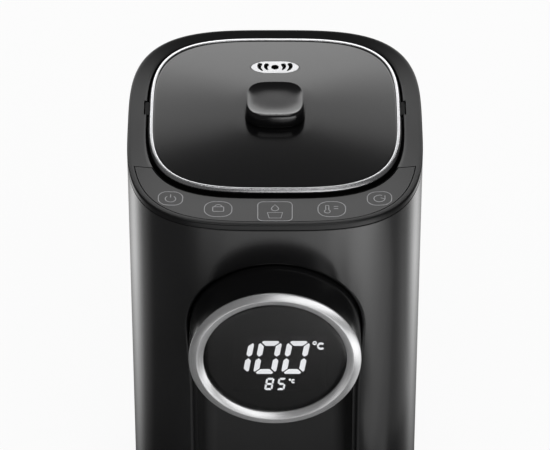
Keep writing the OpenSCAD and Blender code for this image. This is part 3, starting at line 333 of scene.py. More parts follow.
mixed = (
    mouldedPlastic("casingSatin", (0.0085, 0.0085, 0.0088), 0.22, grit=1500, gritDepth=0.012),
    mouldedPlastic("lidGloss", (0.004, 0.004, 0.0043), 0.14, grit=1200, gritDepth=0.004),
    mouldedPlastic("snoutGloss", (0.0065, 0.0065, 0.0068), 0.16, grit=1200, gritDepth=0.003),
    mouldedPlastic("rimSatin", (0.006, 0.006, 0.0063), 0.30, 1700, gritDepth=0.012, gloss=0.27, shift=0.06),
    mouldedPlastic("baySatin", (0.006, 0.006, 0.0063), 0.40, grit=1500, gritDepth=0.008),
    drawnMetal("trimBright", (0.52, 0.52, 0.53), 0.26, (1, 1, 1), 2600, 0.0001, 0.03),
    drawnMetal("ventBright", (0.50, 0.50, 0.51), 0.24, (1, 1, 1), 900, 0.0004),
    turnedMetal("ringSpun", (0.48, 0.48, 0.485), 0.27, (0, 0, 231.7), (1, 0, 1), 8000, 0.0002, metal=0.7),
    smokedGlass("smokedGlass"),
    litDigits("litDigits"),
    mouldedPlastic("trayMatt", (0.006, 0.006, 0.006), 0.6, gloss=0.12),
    mouldedPlastic("innerBlack", (0.012, 0.012, 0.012), 0.5),
    mouldedPlastic("touchPrint", (0.34, 0.34, 0.35), 0.5, gritDepth=0.01, shift=0.05),
    mouldedPlastic("footRubber", (0.012, 0.012, 0.012), 0.75, grit=900, gritDepth=0.06, gloss=0.3),
    mouldedPlastic("paleSilicone", (0.62, 0.61, 0.57), 0.5, shift=0.04),
    turnedMetal("tankSteel", (0.60, 0.59, 0.58), 0.28, (0, 13, 0), (1, 1, 0), 500, 0.01),
    drawnMetal("brushedSteel", (0.58, 0.58, 0.58), 0.3, (1, 12, 12)),
    drawnMetal("sensorMetal", (0.66, 0.65, 0.62), 0.34, (1, 1, 1), 700),
    drawnMetal("screwSteel", (0.55, 0.55, 0.56), 0.32, (1, 1, 6), 900, 0.01),
    circuitBoard("boardGreen"),
    mouldedPlastic("partBlack", (0.02, 0.02, 0.022), 0.45, gritDepth=0.03),
    drawnMetal("heaterMetal", (0.40, 0.39, 0.38), 0.45, (1, 1, 1), 500, 0.02, 0.12),
    micaSheet("micaBand"),
    paleWadding("wadding", (0.60, 0.57, 0.50)),
    mouldedPlastic("pumpWhite", (0.66, 0.65, 0.61), 0.42, gritDepth=0.03, shift=0.04),
    drawnMetal("motorCase", (0.45, 0.45, 0.47), 0.38, (1, 1, 14)),
    drawnMetal("magnetDark", (0.16, 0.15, 0.14), 0.5, (1, 1, 1), 900, 0.02, 0.15),
    drawnMetal("pinBrass", (0.70, 0.68, 0.62), 0.22, (1, 8, 1)),
    mouldedPlastic("wireRed", (0.36, 0.02, 0.02), 0.45),
)
finishes = {finish.name: finish for finish in mixed}
print("finishes mixed:", len(finishes))

# Shapes

cornerPower = 3.4  # of the rounded square plan that the casing, rim and lid share


def outlineSpot(angle, ring):
    halfWidth, halfDepth, height, middle, power = ring
    c, s = math.cos(angle), math.sin(angle)
    reach = (abs(c / halfWidth) ** power + abs(s / halfDepth) ** power) ** (-1 / power)
    return Vector((reach * c, middle + reach * s, height)) * mm


def level(halfWidth, halfDepth, height, middle=0.0, power=cornerPower):
    return (halfWidth, halfDepth, height, middle, power)


def growLoop(bm, edges):
    # draws a loop of edges out: the new edges and the new points
    geom = bmesh.ops.extrude_edge_only(bm, edges=edges)["geom"]
    return [[g for g in geom if isinstance(g, kind)] for kind in (bmesh.types.BMEdge, bmesh.types.BMVert)]


def loft(levels, steps=320, closed=False):
    bm = bmesh.new()
    ring = bmesh.ops.create_circle(bm, segments=steps, radius=1)["verts"]
    for v in ring:
        v.co = outlineSpot(math.atan2(v.co.y, v.co.x), levels[0])
    edges = list(bm.edges)
    first = list(edges)
    for before, after in zip(levels, levels[1:] + ([levels[0]] if closed else [])):
        edges, points = growLoop(bm, edges)
        for v in points:
            v.co = outlineSpot(math.atan2(v.co.y - before[3] * mm, v.co.x), after)
    if closed:
        bmesh.ops.remove_doubles(bm, verts=bm.verts, dist=1e-7)
    else:
        bmesh.ops.edgeloop_fill(bm, edges=first)
        bmesh.ops.edgeloop_fill(bm, edges=edges)
    bmesh.ops.recalc_face_normals(bm, faces=bm.faces)
    return bm


def spinAbout(profile, centre, axis, steps, closed=True):
    # profile: pairs of distance from the axis and place along it
    up = Vector(axis)
    side = Vector((1, 0, 0))
    bm = bmesh.new()
    verts = [bm.verts.new((Vector(centre) + side * r + up * a) * mm) for r, a in profile]
    edges = [bm.edges.new(pair) for pair in zip(verts, verts[1:] + verts[:1] if closed else verts[1:])]
    bmesh.ops.spin(bm, geom=verts + edges, cent=Vector(centre) * mm, axis=up, dvec=(0, 0, 0),
                   angle=math.tau, steps=steps, use_merge=True)
    bmesh.ops.remove_doubles(bm, verts=bm.verts, dist=2e-6)
    bmesh.ops.recalc_face_normals(bm, faces=bm.faces)
    return bm


def roundedPlate(width, depth, radius, low, high, middle):
    bm = bmesh.new()
    bmesh.ops.create_grid(bm, x_segments=1, y_segments=1, size=0.5)
    bmesh.ops.scale(bm, vec=(width * mm, depth * mm, 1), verts=bm.verts)
    bmesh.ops.bevel(bm, geom=list(bm.verts), offset=radius * mm, offset_type="OFFSET", segments=16,
                    profile=0.5, affect="VERTICES", material=-1)
    bmesh.ops.remove_doubles(bm, verts=bm.verts, dist=1e-6)
    bmesh.ops.translate(bm, vec=(middle[0] * mm, middle[1] * mm, low * mm), verts=bm.verts)
    raiseFlat(bm, (0, 0, (high - low) * mm))
    return bm


def raiseFlat(bm, way):
    grown = bmesh.ops.extrude_face_region(bm, geom=list(bm.faces))["geom"]
    bmesh.ops.translate(bm, vec=way, verts=[g for g in grown if isinstance(g, bmesh.types.BMVert)])
    bmesh.ops.recalc_face_normals(bm, faces=bm.faces)


def flatShape(points, low, high, rounding=None, segments=5):
    # a few corners, some of them rounded, raised to a solid
    bm = bmesh.new()
    corners = [bm.verts.new((x * mm, y * mm, low * mm)) for x, y in points]
    bm.faces.new(corners)
    for radius, picked in (rounding or {}).items():
        bmesh.ops.bevel(bm, geom=[corners[i] for i in picked], offset=radius * mm, offset_type="OFFSET",
                        segments=segments, profile=0.5, affect="VERTICES", material=-1)
    raiseFlat(bm, (0, 0, (high - low) * mm))
    return bm


def block(low, high):
    bm = bmesh.new()
    bmesh.ops.create_cube(bm, size=1)
    bmesh.ops.scale(bm, vec=[(b - a) * mm for a, b in zip(low, high)], verts=bm.verts)
    bmesh.ops.translate(bm, vec=[(a + b) / 2 * mm for a, b in zip(low, high)], verts=bm.verts)
    return bm


def drum(radius, centre, length, axis=(0, 1, 0), steps=256):
    # starts at the centre and runs along the axis
    profile = [(0, 0), (radius, 0), (radius, length), (0, length)]
    return spinAbout(profile, centre, axis, steps, closed=False)


def finalMesh(thing):
    bpy.context.view_layer.update()
    return bpy.data.meshes.new_from_object(thing.evaluated_get(bpy.context.evaluated_depsgraph_get()))


def carve(piece, *cutters, operation="DIFFERENCE"):
    for cutter in cutters:
        tool = asObject("cuttingTool", cutter) if isinstance(cutter, bmesh.types.BMesh) else cutter
        cut = piece.modifiers.new("cut", "BOOLEAN")
        cut.object = tool
        cut.operation = operation
        cut.solver = "EXACT"
        carved = finalMesh(piece)
        piece.modifiers.clear()
        carved.materials.clear()
        piece.data = carved
        carved.name = piece.name
        bpy.data.objects.remove(tool)


def tidyMesh(mesh, flat=0.4):
    # merges points that meet, and faces that turn less than flat degrees
    bm = bmesh.new()
    bm.from_mesh(mesh)
    bmesh.ops.remove_doubles(bm, verts=bm.verts, dist=4e-6)
    bmesh.ops.dissolve_degenerate(bm, edges=bm.edges, dist=1e-6)
    if flat:
        bmesh.ops.dissolve_limit(bm, angle_limit=math.radians(flat), verts=bm.verts, edges=bm.edges)
    bm.to_mesh(mesh)
    bm.free()


def dress(piece, finish, body, nodes, sharp=32, edge=0.0, segments=2):
    # sharp: degrees from which an edge stays hard; edge: radius that softens those
    mesh = piece.data
    mesh.materials.clear()
    mesh.materials.append(finishes[finish])
    for face in mesh.polygons:
        face.use_smooth = True
    mesh.set_sharp_from_angle(angle=math.radians(sharp))
    if edge:
        soften = piece.modifiers.new("softEdges", "BEVEL")
        soften.width = edge * mm
        soften.segments = segments
        soften.limit_method = "ANGLE"
        soften.angle_limit = math.radians(sharp + 3)
        soften.miter_outer = "MITER_ARC"
        soften.use_clamp_overlap = True
        even = piece.modifiers.new("evenShade", "WEIGHTED_NORMAL")
        even.keep_sharp = True
        even.weight = 100
    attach(piece, body)
    if nodes:
        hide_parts(*nodes)
    return piece


# Casing

casing = {"halfWidth": 105, "halfDepth": 112.5, "foot": 40, "top": 324.7, "wall": 2.5, "edge": 0.35,
          "archRadius": 61.4, "axisHeight": 231.7, "archFront": -120, "archBack": -78,
          "lipRound": 2.9, "lipDepth": 4.2, "mouthHalf": 58.6, "mouthEase": (60, 45, 15)}


def makeCasing():
    w, d, wall = casing["halfWidth"], casing["halfDepth"], casing["wall"]
    low, high, edge = casing["foot"], casing["top"], casing["edge"]
    front, back, axis = casing["archFront"], casing["archBack"], casing["axisHeight"]
    steps = [low + (high - low) * k / 12 for k in range(1, 12)]
    outside = [level(w - edge, d - edge, low)]
    outside += [level(w, d, h) for h in [low + edge] + steps + [high - edge]]
    outside += [level(w - edge, d - edge, high)]
    inside = [level(w - wall, d - wall, h) for h in (high, low)]
    shell = asObject("casing_wall", loft(outside + inside, closed=True))
    r = casing["archRadius"] + casing["lipRound"]
    arch = drum(r, (0, front, axis), back - front)
    carve(shell, arch, block((-r, front, low - 5), (r, back, axis)), inletHole())
    tidyMesh(shell.data, 0)
    dress(shell, "casingSatin", "pot", ["body_shell"], 28)


def lipCourse():
    # up one side of the bay's mouth, over the snout and down the other side: place and outward way
    r, high, narrow = casing["archRadius"], casing["axisHeight"], casing["mouthHalf"]
    straight, turning, joining = [high - down for down in casing["mouthEase"]]
    side = [(narrow, casing["foot"]), (narrow, straight), (narrow + 0.5, turning), (r - 0.5, joining)]
    course = [(x, z, 1, 0) for x, z in side]
    for k in range(65):
        t = math.pi * k / 64
        course.append((r * math.cos(t), high + r * math.sin(t), math.cos(t), math.sin(t)))
    return course + [(-x, z, -1, 0) for x, z in reversed(side)]


def makeLip():
    w, d, power = casing["halfWidth"], casing["halfDepth"], cornerPower
    r, deep = casing["lipRound"], casing["lipDepth"]
    cut = casing["archRadius"] + r + 0.02
    turns = [math.radians(90 * k / 8) for k in range(9)]
    section = [(r * (1 - math.sin(t)), r * (1 - math.cos(t))) for t in turns]

    def rows(spot):
        x, z, sideways, up = spot
        edge = cut - (abs(x) if not up else casing["archRadius"])  # out to the casing's cut
        for out, sink in [(edge, 0)] + section + [(0, deep), (edge, deep)]:
            reach = x + sideways * out
            front = -d * (1 - abs(reach / w) ** power) ** (1 / power)
            yield Vector((reach, front + sink, z + up * out)) * mm

    course = lipCourse()
    bm = bmesh.new()
    before = list(rows(course[0]))
    verts = [bm.verts.new(v) for v in before]
    edges = [bm.edges.new(pair) for pair in zip(verts, verts[1:] + verts[:1])]
    ends = [list(edges)]
    for spot in course[1:]:
        edges, points = growLoop(bm, edges)
        after = list(rows(spot))
        for v in points:
            v.co = after[min(range(len(before)), key=lambda k: (before[k] - v.co).length_squared)]
        before = after
    ends.append(edges)
    for loop in ends:
        bmesh.ops.edgeloop_fill(bm, edges=loop)
    bmesh.ops.recalc_face_normals(bm, faces=bm.faces)
    dress(asObject("casing_lip", bm), "casingSatin", "pot", ["body_shell"], 50)


inlet = {"halfWidth": 12.1, "halfHeight": 8.2, "corner": 4, "middle": 60, "face": 114.5, "wall": 2,
         "flange": 3, "flangeThick": 1.9, "length": 20, "depth": 18, "casingRoom": 2.1}


def inletOutline(grow):
    w, h, c = inlet["halfWidth"], inlet["halfHeight"], inlet["corner"]
    return [(-w - grow, -h - grow), (w + grow, -h - grow), (w + grow, h - c), (w - c, h + grow),
            (c - w, h + grow), (-w - grow, h - c)]


def inletBlock(grow, start, stop, rounding=None, segments=5, y=inlet["face"]):
    # the outline stood up, from start to stop inwards of y
    bm = flatShape(inletOutline(grow), start, stop, rounding, segments)
    bmesh.ops.rotate(bm, cent=(0, 0, 0), matrix=Matrix.Rotation(math.radians(90), 3, "X"), verts=bm.verts)
    bmesh.ops.translate(bm, vec=(0, y * mm, inlet["middle"] * mm), verts=bm.verts)
    return bm


def inletHole():
    # from outside right through the casing's wall
    return inletBlock(inlet["casingRoom"], 0, 30, y=inlet["face"] + 3)


def makeInlet():
    every = range(len(inletOutline(0)))
    wall, flange = inlet["wall"], inlet["wall"] + inlet["flange"]
    socket = asObject("power_socket", inletBlock(wall, 0, inlet["length"], {0.8: every}, 3))
    carve(socket, inletBlock(flange, 0, inlet["flangeThick"], {1.2: every}, 4), operation="UNION")
    carve(socket, inletBlock(0, -1, inlet["depth"], {0.8: every}, 3))
    tidyMesh(socket.data)
    dress(socket, "innerBlack", "pot", ["power_inlet"], edge=0.25)


makeCasing()
makeLip()
makeInlet()
print("casing made")

# Rim, touch plate and its marks

rim = {"low": 324.7, "top": 330, "edge": 1.2, "fall": 1.8, "run": 13,
       "seamIn": 0.75, "seamHigh": 0.55, "seamCut": 0.15, "seamRise": (0.65, 0.85),
       "wellWidth": 92, "wellDepth": 91.85, "wellMiddle": 11.85, "wellFloor": 314, "wellUnder": 311.5,
       "wellWall": 2.2, "hole": 77, "holeMiddle": 13, "deckUnder": 323.3,
       "skirtIn": (100.2, 107.7), "skirtOut": (102.4, 109.9), "skirtLow": 318.7, "holeRound": 0.3,
       "lip": 0.6, "lipRound": ((0.3, 0.08), (0.08, 0.3), (0, 0.6)),  # outwards, and down from the edge
       "floorRound": ((0, 0.5), (0.15, 0.15), (0.5, 0))}  # inwards, and up from the floor
notch = {"middle": 91.95, "half": 1.95, "front": 13.6, "back": 29.6}
touch = {"margin": 4.6, "lip": 1.2, "seat": 325.8, "end": 47.4, "groove": 0.65, "overrun": 3}
clearAbove = 340  # cutting shapes end here, above everything


def rimTop():
    w, d, e, cut = casing["halfWidth"], casing["halfDepth"], rim["edge"], rim["seamCut"]
    start, stop = [rim["low"] + up for up in rim["seamRise"]]
    ramp = [level(w - cut, d - cut, start), level(w, d, stop)]
    ramp.append(level(w, d, rim["top"] - e))
    for a in range(15, 91, 15):
        t = math.radians(a)
        pull = e * (1 - math.cos(t))
        ramp.append(level(w - pull, d - pull, rim["top"] - e * (1 - math.sin(t))))
    return ramp


def rimSlope(stop):
    # from the rim's crest down to the well, in even steps, and on by stop inside its edge
    a = (casing["halfWidth"] - rim["edge"], casing["halfDepth"] - rim["edge"], rim["top"], 0)
    low = rim["top"] - rim["fall"] - stop * rim["fall"] / rim["run"]
    b = (rim["wellWidth"] - stop, rim["wellDepth"] - stop, low, rim["wellMiddle"])
    return [level(*[p + (q - p) * k / 6 for p, q in zip(a, b)]) for k in range(1, 7)]


def makeRim():
    w, d = casing["halfWidth"] - rim["seamIn"], casing["halfDepth"] - rim["seamIn"]
    a, b, m, k = rim["wellWidth"], rim["wellDepth"], rim["wellMiddle"], rim["wellWall"]
    edge, floor, under, deck = rim["top"] - rim["fall"], rim["wellFloor"], rim["wellUnder"], rim["deckUnder"]
    hole, ease, mid = rim["hole"], rim["holeRound"], rim["holeMiddle"]
    path = [level(w, d, rim["low"]), level(w, d, rim["low"] + rim["seamHigh"])] + rimTop()
    path += rimSlope(-rim["lip"])
    path += [level(a + out, b + out, edge - down, m) for out, down in rim["lipRound"]]
    path += [level(a - cut, b - cut, floor + up, m) for cut, up in rim["floorRound"]]
    for r, z in ((hole + ease, floor), (hole, floor - ease), (hole, under)):
        path.append(level(r, r, z, mid, 2))
    path += [level(a + k, b + k, under, m), level(a + k, b + k, deck, m)]
    path += [level(*rim["skirtIn"], deck), level(*rim["skirtIn"], rim["skirtLow"])]
    path += [level(*rim["skirtOut"], rim["skirtLow"]), level(*rim["skirtOut"], rim["low"])]
    top = asObject("top_rim", loft(path, closed=True))
    carve(top, touchPlan(touch["groove"], touch["seat"]))
    for side in (-1, 1):
        x, half = side * notch["middle"], notch["half"]
        carve(top, block((x - half, notch["front"], floor + 1), (x + half, notch["back"], rim["top"] + 2)))
    tidyMesh(top.data, 0)
    dress(top, "rimSatin", "pot", ["top_frame"], 30)


def touchPlan(grow, low):
    # between the casing's outline and the well's, in front of a straight end
    high, m = clearAbove, rim["wellMiddle"]
    w, d = casing["halfWidth"] - touch["margin"] + grow, casing["halfDepth"] - touch["margin"] + grow
    a, b = rim["wellWidth"] + touch["lip"] - grow, rim["wellDepth"] + touch["lip"] - grow
    plan = asObject("touchPlan", loft([level(w, d, low), level(w, d, high)]))
    carve(plan, loft([level(a, b, low - 1, m), level(a, b, high + 1, m)]))
    front = block((-w - 5, -d - 5, low - 2), (w + 5, grow - touch["end"], high + 2))
    carve(plan, front, operation="INTERSECT")
    return plan


def makeTouchPlate():
    plate = asObject("touch_plate", loft(rimTop() + rimSlope(touch["overrun"])))
    carve(plate, touchPlan(0, touch["seat"] + 0.1), operation="INTERSECT")
    tidyMesh(plate.data, 0)
    return dress(plate, "rimSatin", "pot", ["touch_panel"], 30)


makeRim()
touchPlate = makeTouchPlate()
print("rim and touch plate made")

# Marks of the touch plate: outlines and plain symbols, all drawn as thin strokes

touchFields = {
    "left": {"middle": (-72.9, -81.9), "size": (17, 15.8), "corner": 6.6},
    "leftInner": {"middle": (-39.5, -93.6), "size": (19.2, 17.8), "corner": 7.6},
    "centre": {"middle": (0, -96.1), "size": (24, 22.7), "corner": 4},
    "rightInner": {"middle": (39.5, -93.6), "size": (19.2, 17.8), "corner": 7.6},
    "right": {"middle": (72.9, -81.9), "size": (17, 15.8), "corner": 6.6},
}
stroke = {"frame": 0.62, "symbol": 0.66, "symbolScale": 1.2, "flatten": 0.06, "lift": 0.006, "above": 400}


def arc(middle, radius, start, stop, parts=10):
    turns = [math.radians(start + (stop - start) * k / parts) for k in range(parts + 1)]
    return [(middle[0] + radius * math.cos(t), middle[1] + radius * math.sin(t)) for t in turns]


def roundFrame(width, depth, corner):
    w, d = width / 2 - corner, depth / 2 - corner
    middles = ((w, d), (-w, d), (-w, -d), (w, -d))
    return [spot for k, middle in enumerate(middles) for spot in arc(middle, corner, 90 * k, 90 * k + 90, 8)]


# each symbol is a list of strokes: points, and whether the stroke closes
symbols = {
    "left": [(arc((0, -0.4), 3.1, 130, 410), False), ([(0, 1.0), (0, 4.0)], False)],
    "leftInner": [(roundFrame(6.4, 4.6, 0.8), True), (arc((0, 2.3), 2.1, 0, 180), False)],
    "centre": [([(-4.4, -1.2), (4.4, -1.2), (3.4, -6.6), (-3.4, -6.6)], True),
               (arc((0, 2.6), 2.1, 140, 400) + [(0, 6.6)], True)],
    "rightInner": [(arc((-2.6, -2.2), 1.7, 130, 410), False),
                   ([(-3.5, -0.8), (-3.5, 3.6), (-1.7, 3.6), (-1.7, -0.8)], False),
                   ([(1.2, 2.6), (3.8, 2.6)], False),
                   ([(1.2, 0.4), (3.8, 0.4)], False)],
    "right": [(arc((0, 0), 3.3, 60, 350), False), ([(3.2, 2.6), (3.25, -0.6), (0.7, 0.6)], False)],
}


def drawStroke(points, closed, width):
    line = bpy.data.curves.new("stroke", "CURVE")
    line.dimensions = "3D"
    line.bevel_depth = width / 2 * mm
    line.bevel_resolution = 2
    line.use_fill_caps = True
    run = line.splines.new("POLY")
    run.points.add(len(points) - 1)
    for spot, (x, y) in zip(run.points, points):
        spot.co = (x * mm, y * mm, 0, 1)
    run.use_cyclic_u = closed
    holder = bpy.data.objects.new("stroke", line)
    scene.collection.objects.link(holder)
    mesh = finalMesh(holder)
    bpy.data.objects.remove(holder)
    return mesh


def makeTouchMarks(plate):
    under = BVHTree.FromObject(plate, bpy.context.evaluated_depsgraph_get())
    bm = bmesh.new()
    for name, field in touchFields.items():
        runs = [(roundFrame(*field["size"], field["corner"])[:-1], True, stroke["frame"])]
        for points, closed in symbols[name]:
            grown = [(x * stroke["symbolScale"], y * stroke["symbolScale"]) for x, y in points]
            runs.append((grown, closed, stroke["symbol"]))
        for points, closed, width in runs:
            mesh = drawStroke(points, closed, width)
            before = len(bm.verts)
            bm.from_mesh(mesh)
            bm.verts.ensure_lookup_table()
            for v in bm.verts[before:]:
                x, y = v.co.x + field["middle"][0] * mm, v.co.y + field["middle"][1] * mm
                # pressed nearly flat, on the plate's own face
                face = under.ray_cast(Vector((x, y, stroke["above"] * mm)), Vector((0, 0, -1)))[0]
                v.co = (x, y, face.z + v.co.z * stroke["flatten"] + stroke["lift"] * mm)
            bpy.data.meshes.remove(mesh)
    bmesh.ops.remove_doubles(bm, verts=bm.verts, dist=1e-7)
    bmesh.ops.recalc_face_normals(bm, faces=bm.faces)
    dress(asObject("touch_marks", bm), "touchPrint", "pot", [], 60)


makeTouchMarks(touchPlate)
print("touch marks drawn")

# Lid

lid = {"halfWidth": 87.1, "halfDepth": 85.1, "middle": 13, "edge": 330.2, "rise": 2.8, "flat": 0.3,
       "low": 324.8, "wall": 2.6, "edgeDrop": 0.4, "edgeCut": 0.12}
lidBoss = {"radius": 3.5, "across": 64.512, "along": 60.444, "low": 316.6, "length": 11.5}
domeShares = (0.994, 0.985, 0.96, 0.92, 0.87, 0.81, 0.74, 0.66, 0.58, 0.5, 0.42, 0.36, 0.3, 0.22, 0.12, 0.03)
innerShares = (1, 0.9, 0.75, 0.55, 0.3, 0.03)


def domeLevel(share, drop=0.0):
    s = max(share, lid["flat"])
    return level((lid["halfWidth"] - drop) * share, (lid["halfDepth"] - drop) * share,
                 lid["edge"] - drop + lid["rise"] * (1 - s * s), lid["middle"])


def makeLid():
    w, d, m, wall, cut = lid["halfWidth"], lid["halfDepth"], lid["middle"], lid["wall"], lid["edgeCut"]
    path = [level(w, d, lid["low"], m), level(w, d, lid["edge"] - lid["edgeDrop"], m)]
    path.append(level(w - cut, d - cut, lid["edge"] - cut, m))
    dome = asObject("lid_dome", loft(path + [domeLevel(s) for s in domeShares]))
    inner = [level(w - wall, d - wall, lid["low"] - 1, m)]
    inner += [domeLevel(s, wall) for s in innerShares]
    long, wide = vent["length"] - vent["ductShorter"], vent["width"] - vent["ductNarrower"]
    duct = roundedPlate(long, wide, wide / 2 - 0.01, *vent["ductReach"], (0, vent["middle"]))
    carve(dome, loft(inner))
    carve(dome, ventShape(vent["pocket"], vent["low"] - 0.05, clearAbove), duct)
    for x in (-1, 1):
        for y in (-1, 1):
            spot = (x * lidBoss["across"], m + y * lidBoss["along"], lidBoss["low"])
            carve(dome, drum(lidBoss["radius"], spot, lidBoss["length"], (0, 0, 1), 48), operation="UNION")
    tidyMesh(dome.data, 0)
    dress(dome, "lidGloss", "lid", ["lid_shell"], 30)


# the chamfer's steps: inwards, and down from the top
trimRing = {"halfWidth": 90.2, "halfDepth": 88.2, "low": 327.7, "width": 3, "height": 3.3,
            "round": 0.5, "foot": 0.2,
            "chamfer": ((0, 2.2), (0.04, 2.04), (0.13, 1.86), (0.97, 0.27), (1.08, 0.11), (1.3, 0))}


def makeTrimRing():
    high, wide, r, foot = trimRing["height"], trimRing["width"], trimRing["round"], trimRing["foot"]
    corner = [(0, foot)] + [(inward, high - down) for inward, down in trimRing["chamfer"]]
    corner.append((wide - r, high))
    for a in range(18, 91, 18):
        turn = math.radians(a)
        corner.append((wide - r + r * math.sin(turn), high - r + r * math.cos(turn)))
    corner += [(wide, 0), (foot, 0)]
    w, d, low = trimRing["halfWidth"], trimRing["halfDepth"], trimRing["low"]
    path = [level(w - inward, d - inward, low + z, lid["middle"]) for inward, z in corner]
    ring = asObject("lid_trim_ring", loft(path, closed=True))
    dress(ring, "trimBright", "lid", ["lid_ring"], 40)


knob = {"half": 21.7, "low": 332.85, "height": 10.6, "power": 3.3, "lean": 0.2,
        "dishDepth": 1.5, "dishPower": 6.5}
# up the knob's side: height, and how far the width and the depth draw in
knobSide = ((0, 1.3, 1.3), (0, 1.1, 1.1), (0.6, 1.1, 1.1), (0.9, 0.55, 0.55), (1.25, 0.16, 0.16),
            (1.75, 0, 0), (3.4, 0.05, 0.1), (5.3, 0.2, 0.3), (7.2, 0.45, 0.6), (8.6, 0.75, 0.95),
            (9.5, 1.08, 1.38), (10.05, 1.36, 1.72), (10.38, 1.6, 2.0), (10.55, 1.85, 2.25), (10.6, 2.1, 2.5))
dishShares = (0.985, 0.96, 0.93, 0.9, 0.86, 0.82, 0.78, 0.74, 0.7, 0.65, 0.6, 0.5, 0.4, 0.3, 0.2, 0.1, 0.03)


def makeKnob():
    half, low, m, p, high = knob["half"], knob["low"], lid["middle"], knob["power"], knob["height"]
    path = [level(half - a, half - b, low + z, m + knob["lean"] * z / high, p) for z, a, b in knobSide]
    wide, deep = [half - inward for inward in knobSide[-1][1:]]
    for share in dishShares:
        sink = knob["dishDepth"] * (1 - share ** knob["dishPower"])
        rounder = 2 + (p - 2) * share
        path.append(level(wide * share, deep * share, low + high - sink, m + knob["lean"], rounder))
    dress(asObject("grip_knob", loft(path, 192)), "lidGloss", "lid", ["lid_knob"], 50)


vent = {"length": 34.6, "width": 13.7, "straight": 6.5, "endPower": 1.12, "middle": 64.4, "low": 330.4,
        "high": 332, "pocket": 0.6, "ductShorter": 8, "ductNarrower": 6, "ductReach": (320, 331),
        "hole": 2.75, "cutLow": 329, "slotHead": 1.62, "slotTip": 0.12}
# the slots of one side: middle and reach of the bend, and its turn in degrees
ventSlots = (((-1.65, 0.4), 5.0, 152, 229), ((-5.3, 0.85), 6.05, 157, 238))


def ventOutline(grow):
    # straight long sides and drawn-out round ends
    w, d, flat, power = vent["length"] / 2, vent["width"] / 2, vent["straight"], vent["endPower"]
    turns = [math.radians(90 * k / 14) for k in range(15)]
    reach = w - flat + grow
    end = [(flat + reach * math.cos(t) ** power, (d + grow) * math.sin(t) ** power) for t in turns]
    half = end + [(-x, y) for x, y in reversed(end)]
    return half + [(x, -y) for x, y in reversed(half[1:-1])]


def ventShape(grow, low, high):
    bm = flatShape(ventOutline(grow), low, high)
    bmesh.ops.translate(bm, vec=(0, vent["middle"] * mm, 0), verts=bm.verts)
    return bm


def ventSlot(side, centre, reach, start, stop):
    # a bent drop: a round head at the back that thins to a point at the front
    head, tip = vent["slotHead"], vent["slotTip"]
    points = []
    spots = [k / 10 for k in range(11)]
    for sign in (1, -1):
        for share in spots if sign == 1 else reversed(spots):
            t = math.radians(start + (stop - start) * share)
            r = reach + sign * (head * (1 - share) ** 0.6 + tip)
            points.append((centre[0] + r * math.cos(t), centre[1] + r * math.sin(t)))
    first = math.radians(start)
    middle = (centre[0] + reach * math.cos(first), centre[1] + reach * math.sin(first))
    for a in range(150, 0, -30):
        t = first - math.radians(a)
        points.append((middle[0] + (head + tip) * math.cos(t), middle[1] + (head + tip) * math.sin(t)))
    return flatShape([(-side * x, y + vent["middle"]) for x, y in points], vent["cutLow"], vent["high"] + 2)


def makeVentPlate():
    plate = asObject("vent_plate_bright", ventShape(0, vent["low"], vent["high"]))
    carve(plate, drum(vent["hole"], (0, vent["middle"], vent["cutLow"]), 6, (0, 0, 1), 64))
    for side in (-1, 1):
        carve(plate, *[ventSlot(side, *slot) for slot in ventSlots])
    tidyMesh(plate.data)
    dress(plate, "ventBright", "lid", ["vent_plate"], edge=0.25, segments=3)


makeLid()
makeTrimRing()
makeKnob()
makeVentPlate()
print("lid made")

# Snout, display and bay

snout = {"radius": 60.6, "axis": (0, 0, 231.7), "front": -140.4, "rear": -84.5, "wall": 2.6, "edge": 0.35,
         "shelfFront": -134.1, "shelfBack": -132.1, "shelfDeep": 8,
         "outletSpot": (0, -116.1, 164), "outletRadius": 8.1, "outletLong": 20}


def aboutSnout(name, profile, steps=256, closed=True):
    return asObject(name, spinAbout(profile, snout["axis"], (0, 1, 0), steps, closed))


def makeSnout():
    r, e, front = snout["radius"], snout["edge"], snout["front"]
    inside = r - snout["wall"]
    shelf = inside - snout["shelfDeep"]
    profile = [(r - e, front), (r, front + e), (r, snout["rear"]), (inside, snout["rear"]),
               (inside, snout["shelfBack"]), (shelf, snout["shelfBack"]),
               (shelf, snout["shelfFront"]), (inside, snout["shelfFront"]), (inside, front)]
    barrel = aboutSnout("snout_barrel", profile)
    carve(barrel, drum(snout["outletRadius"], snout["outletSpot"], snout["outletLong"], (0, 0, 1), 64))
    tidyMesh(barrel.data, 0)
    dress(barrel, "snoutGloss", "pot", ["snout_housing"], 30)


bezel = {"face": -143.3, "crest": 5.3, "fall": 1.75, "band": 10.2, "side": 2.9, "seat": 3.5,
         "seatRadius": 53.5, "sleeve": 57.9, "sleeveEnd": 6.5, "crestRound": (0.35, 0.1),
         "corner": ((0, 0.25), (0.08, 0.1), (0.25, -0.05))}  # inwards, and back from the facet's end


def makeDisplayRing():
    # two facets that meet at a crest, and a sleeve that holds the glass
    r, f, fall, side = snout["radius"], bezel["face"], bezel["fall"], bezel["side"]
    crest, inner = r - bezel["crest"], r - bezel["band"]
    out, down = bezel["crestRound"]
    profile = [(r - inward, f + fall + back) for inward, back in bezel["corner"]]
    profile += [(crest + out, f + down), (crest, f), (crest - out, f + down)]
    profile += [(inner + outward, f + fall + back) for outward, back in reversed(bezel["corner"])]
    profile += [(inner, f + bezel["seat"]), (bezel["seatRadius"], f + bezel["seat"])]
    profile += [(bezel["seatRadius"], f + bezel["sleeveEnd"]), (bezel["sleeve"], f + bezel["sleeveEnd"])]
    profile += [(bezel["sleeve"], f + side), (r, f + side)]
    dress(aboutSnout("display_bezel", profile), "ringSpun", "pot", ["display_ring"], 40)


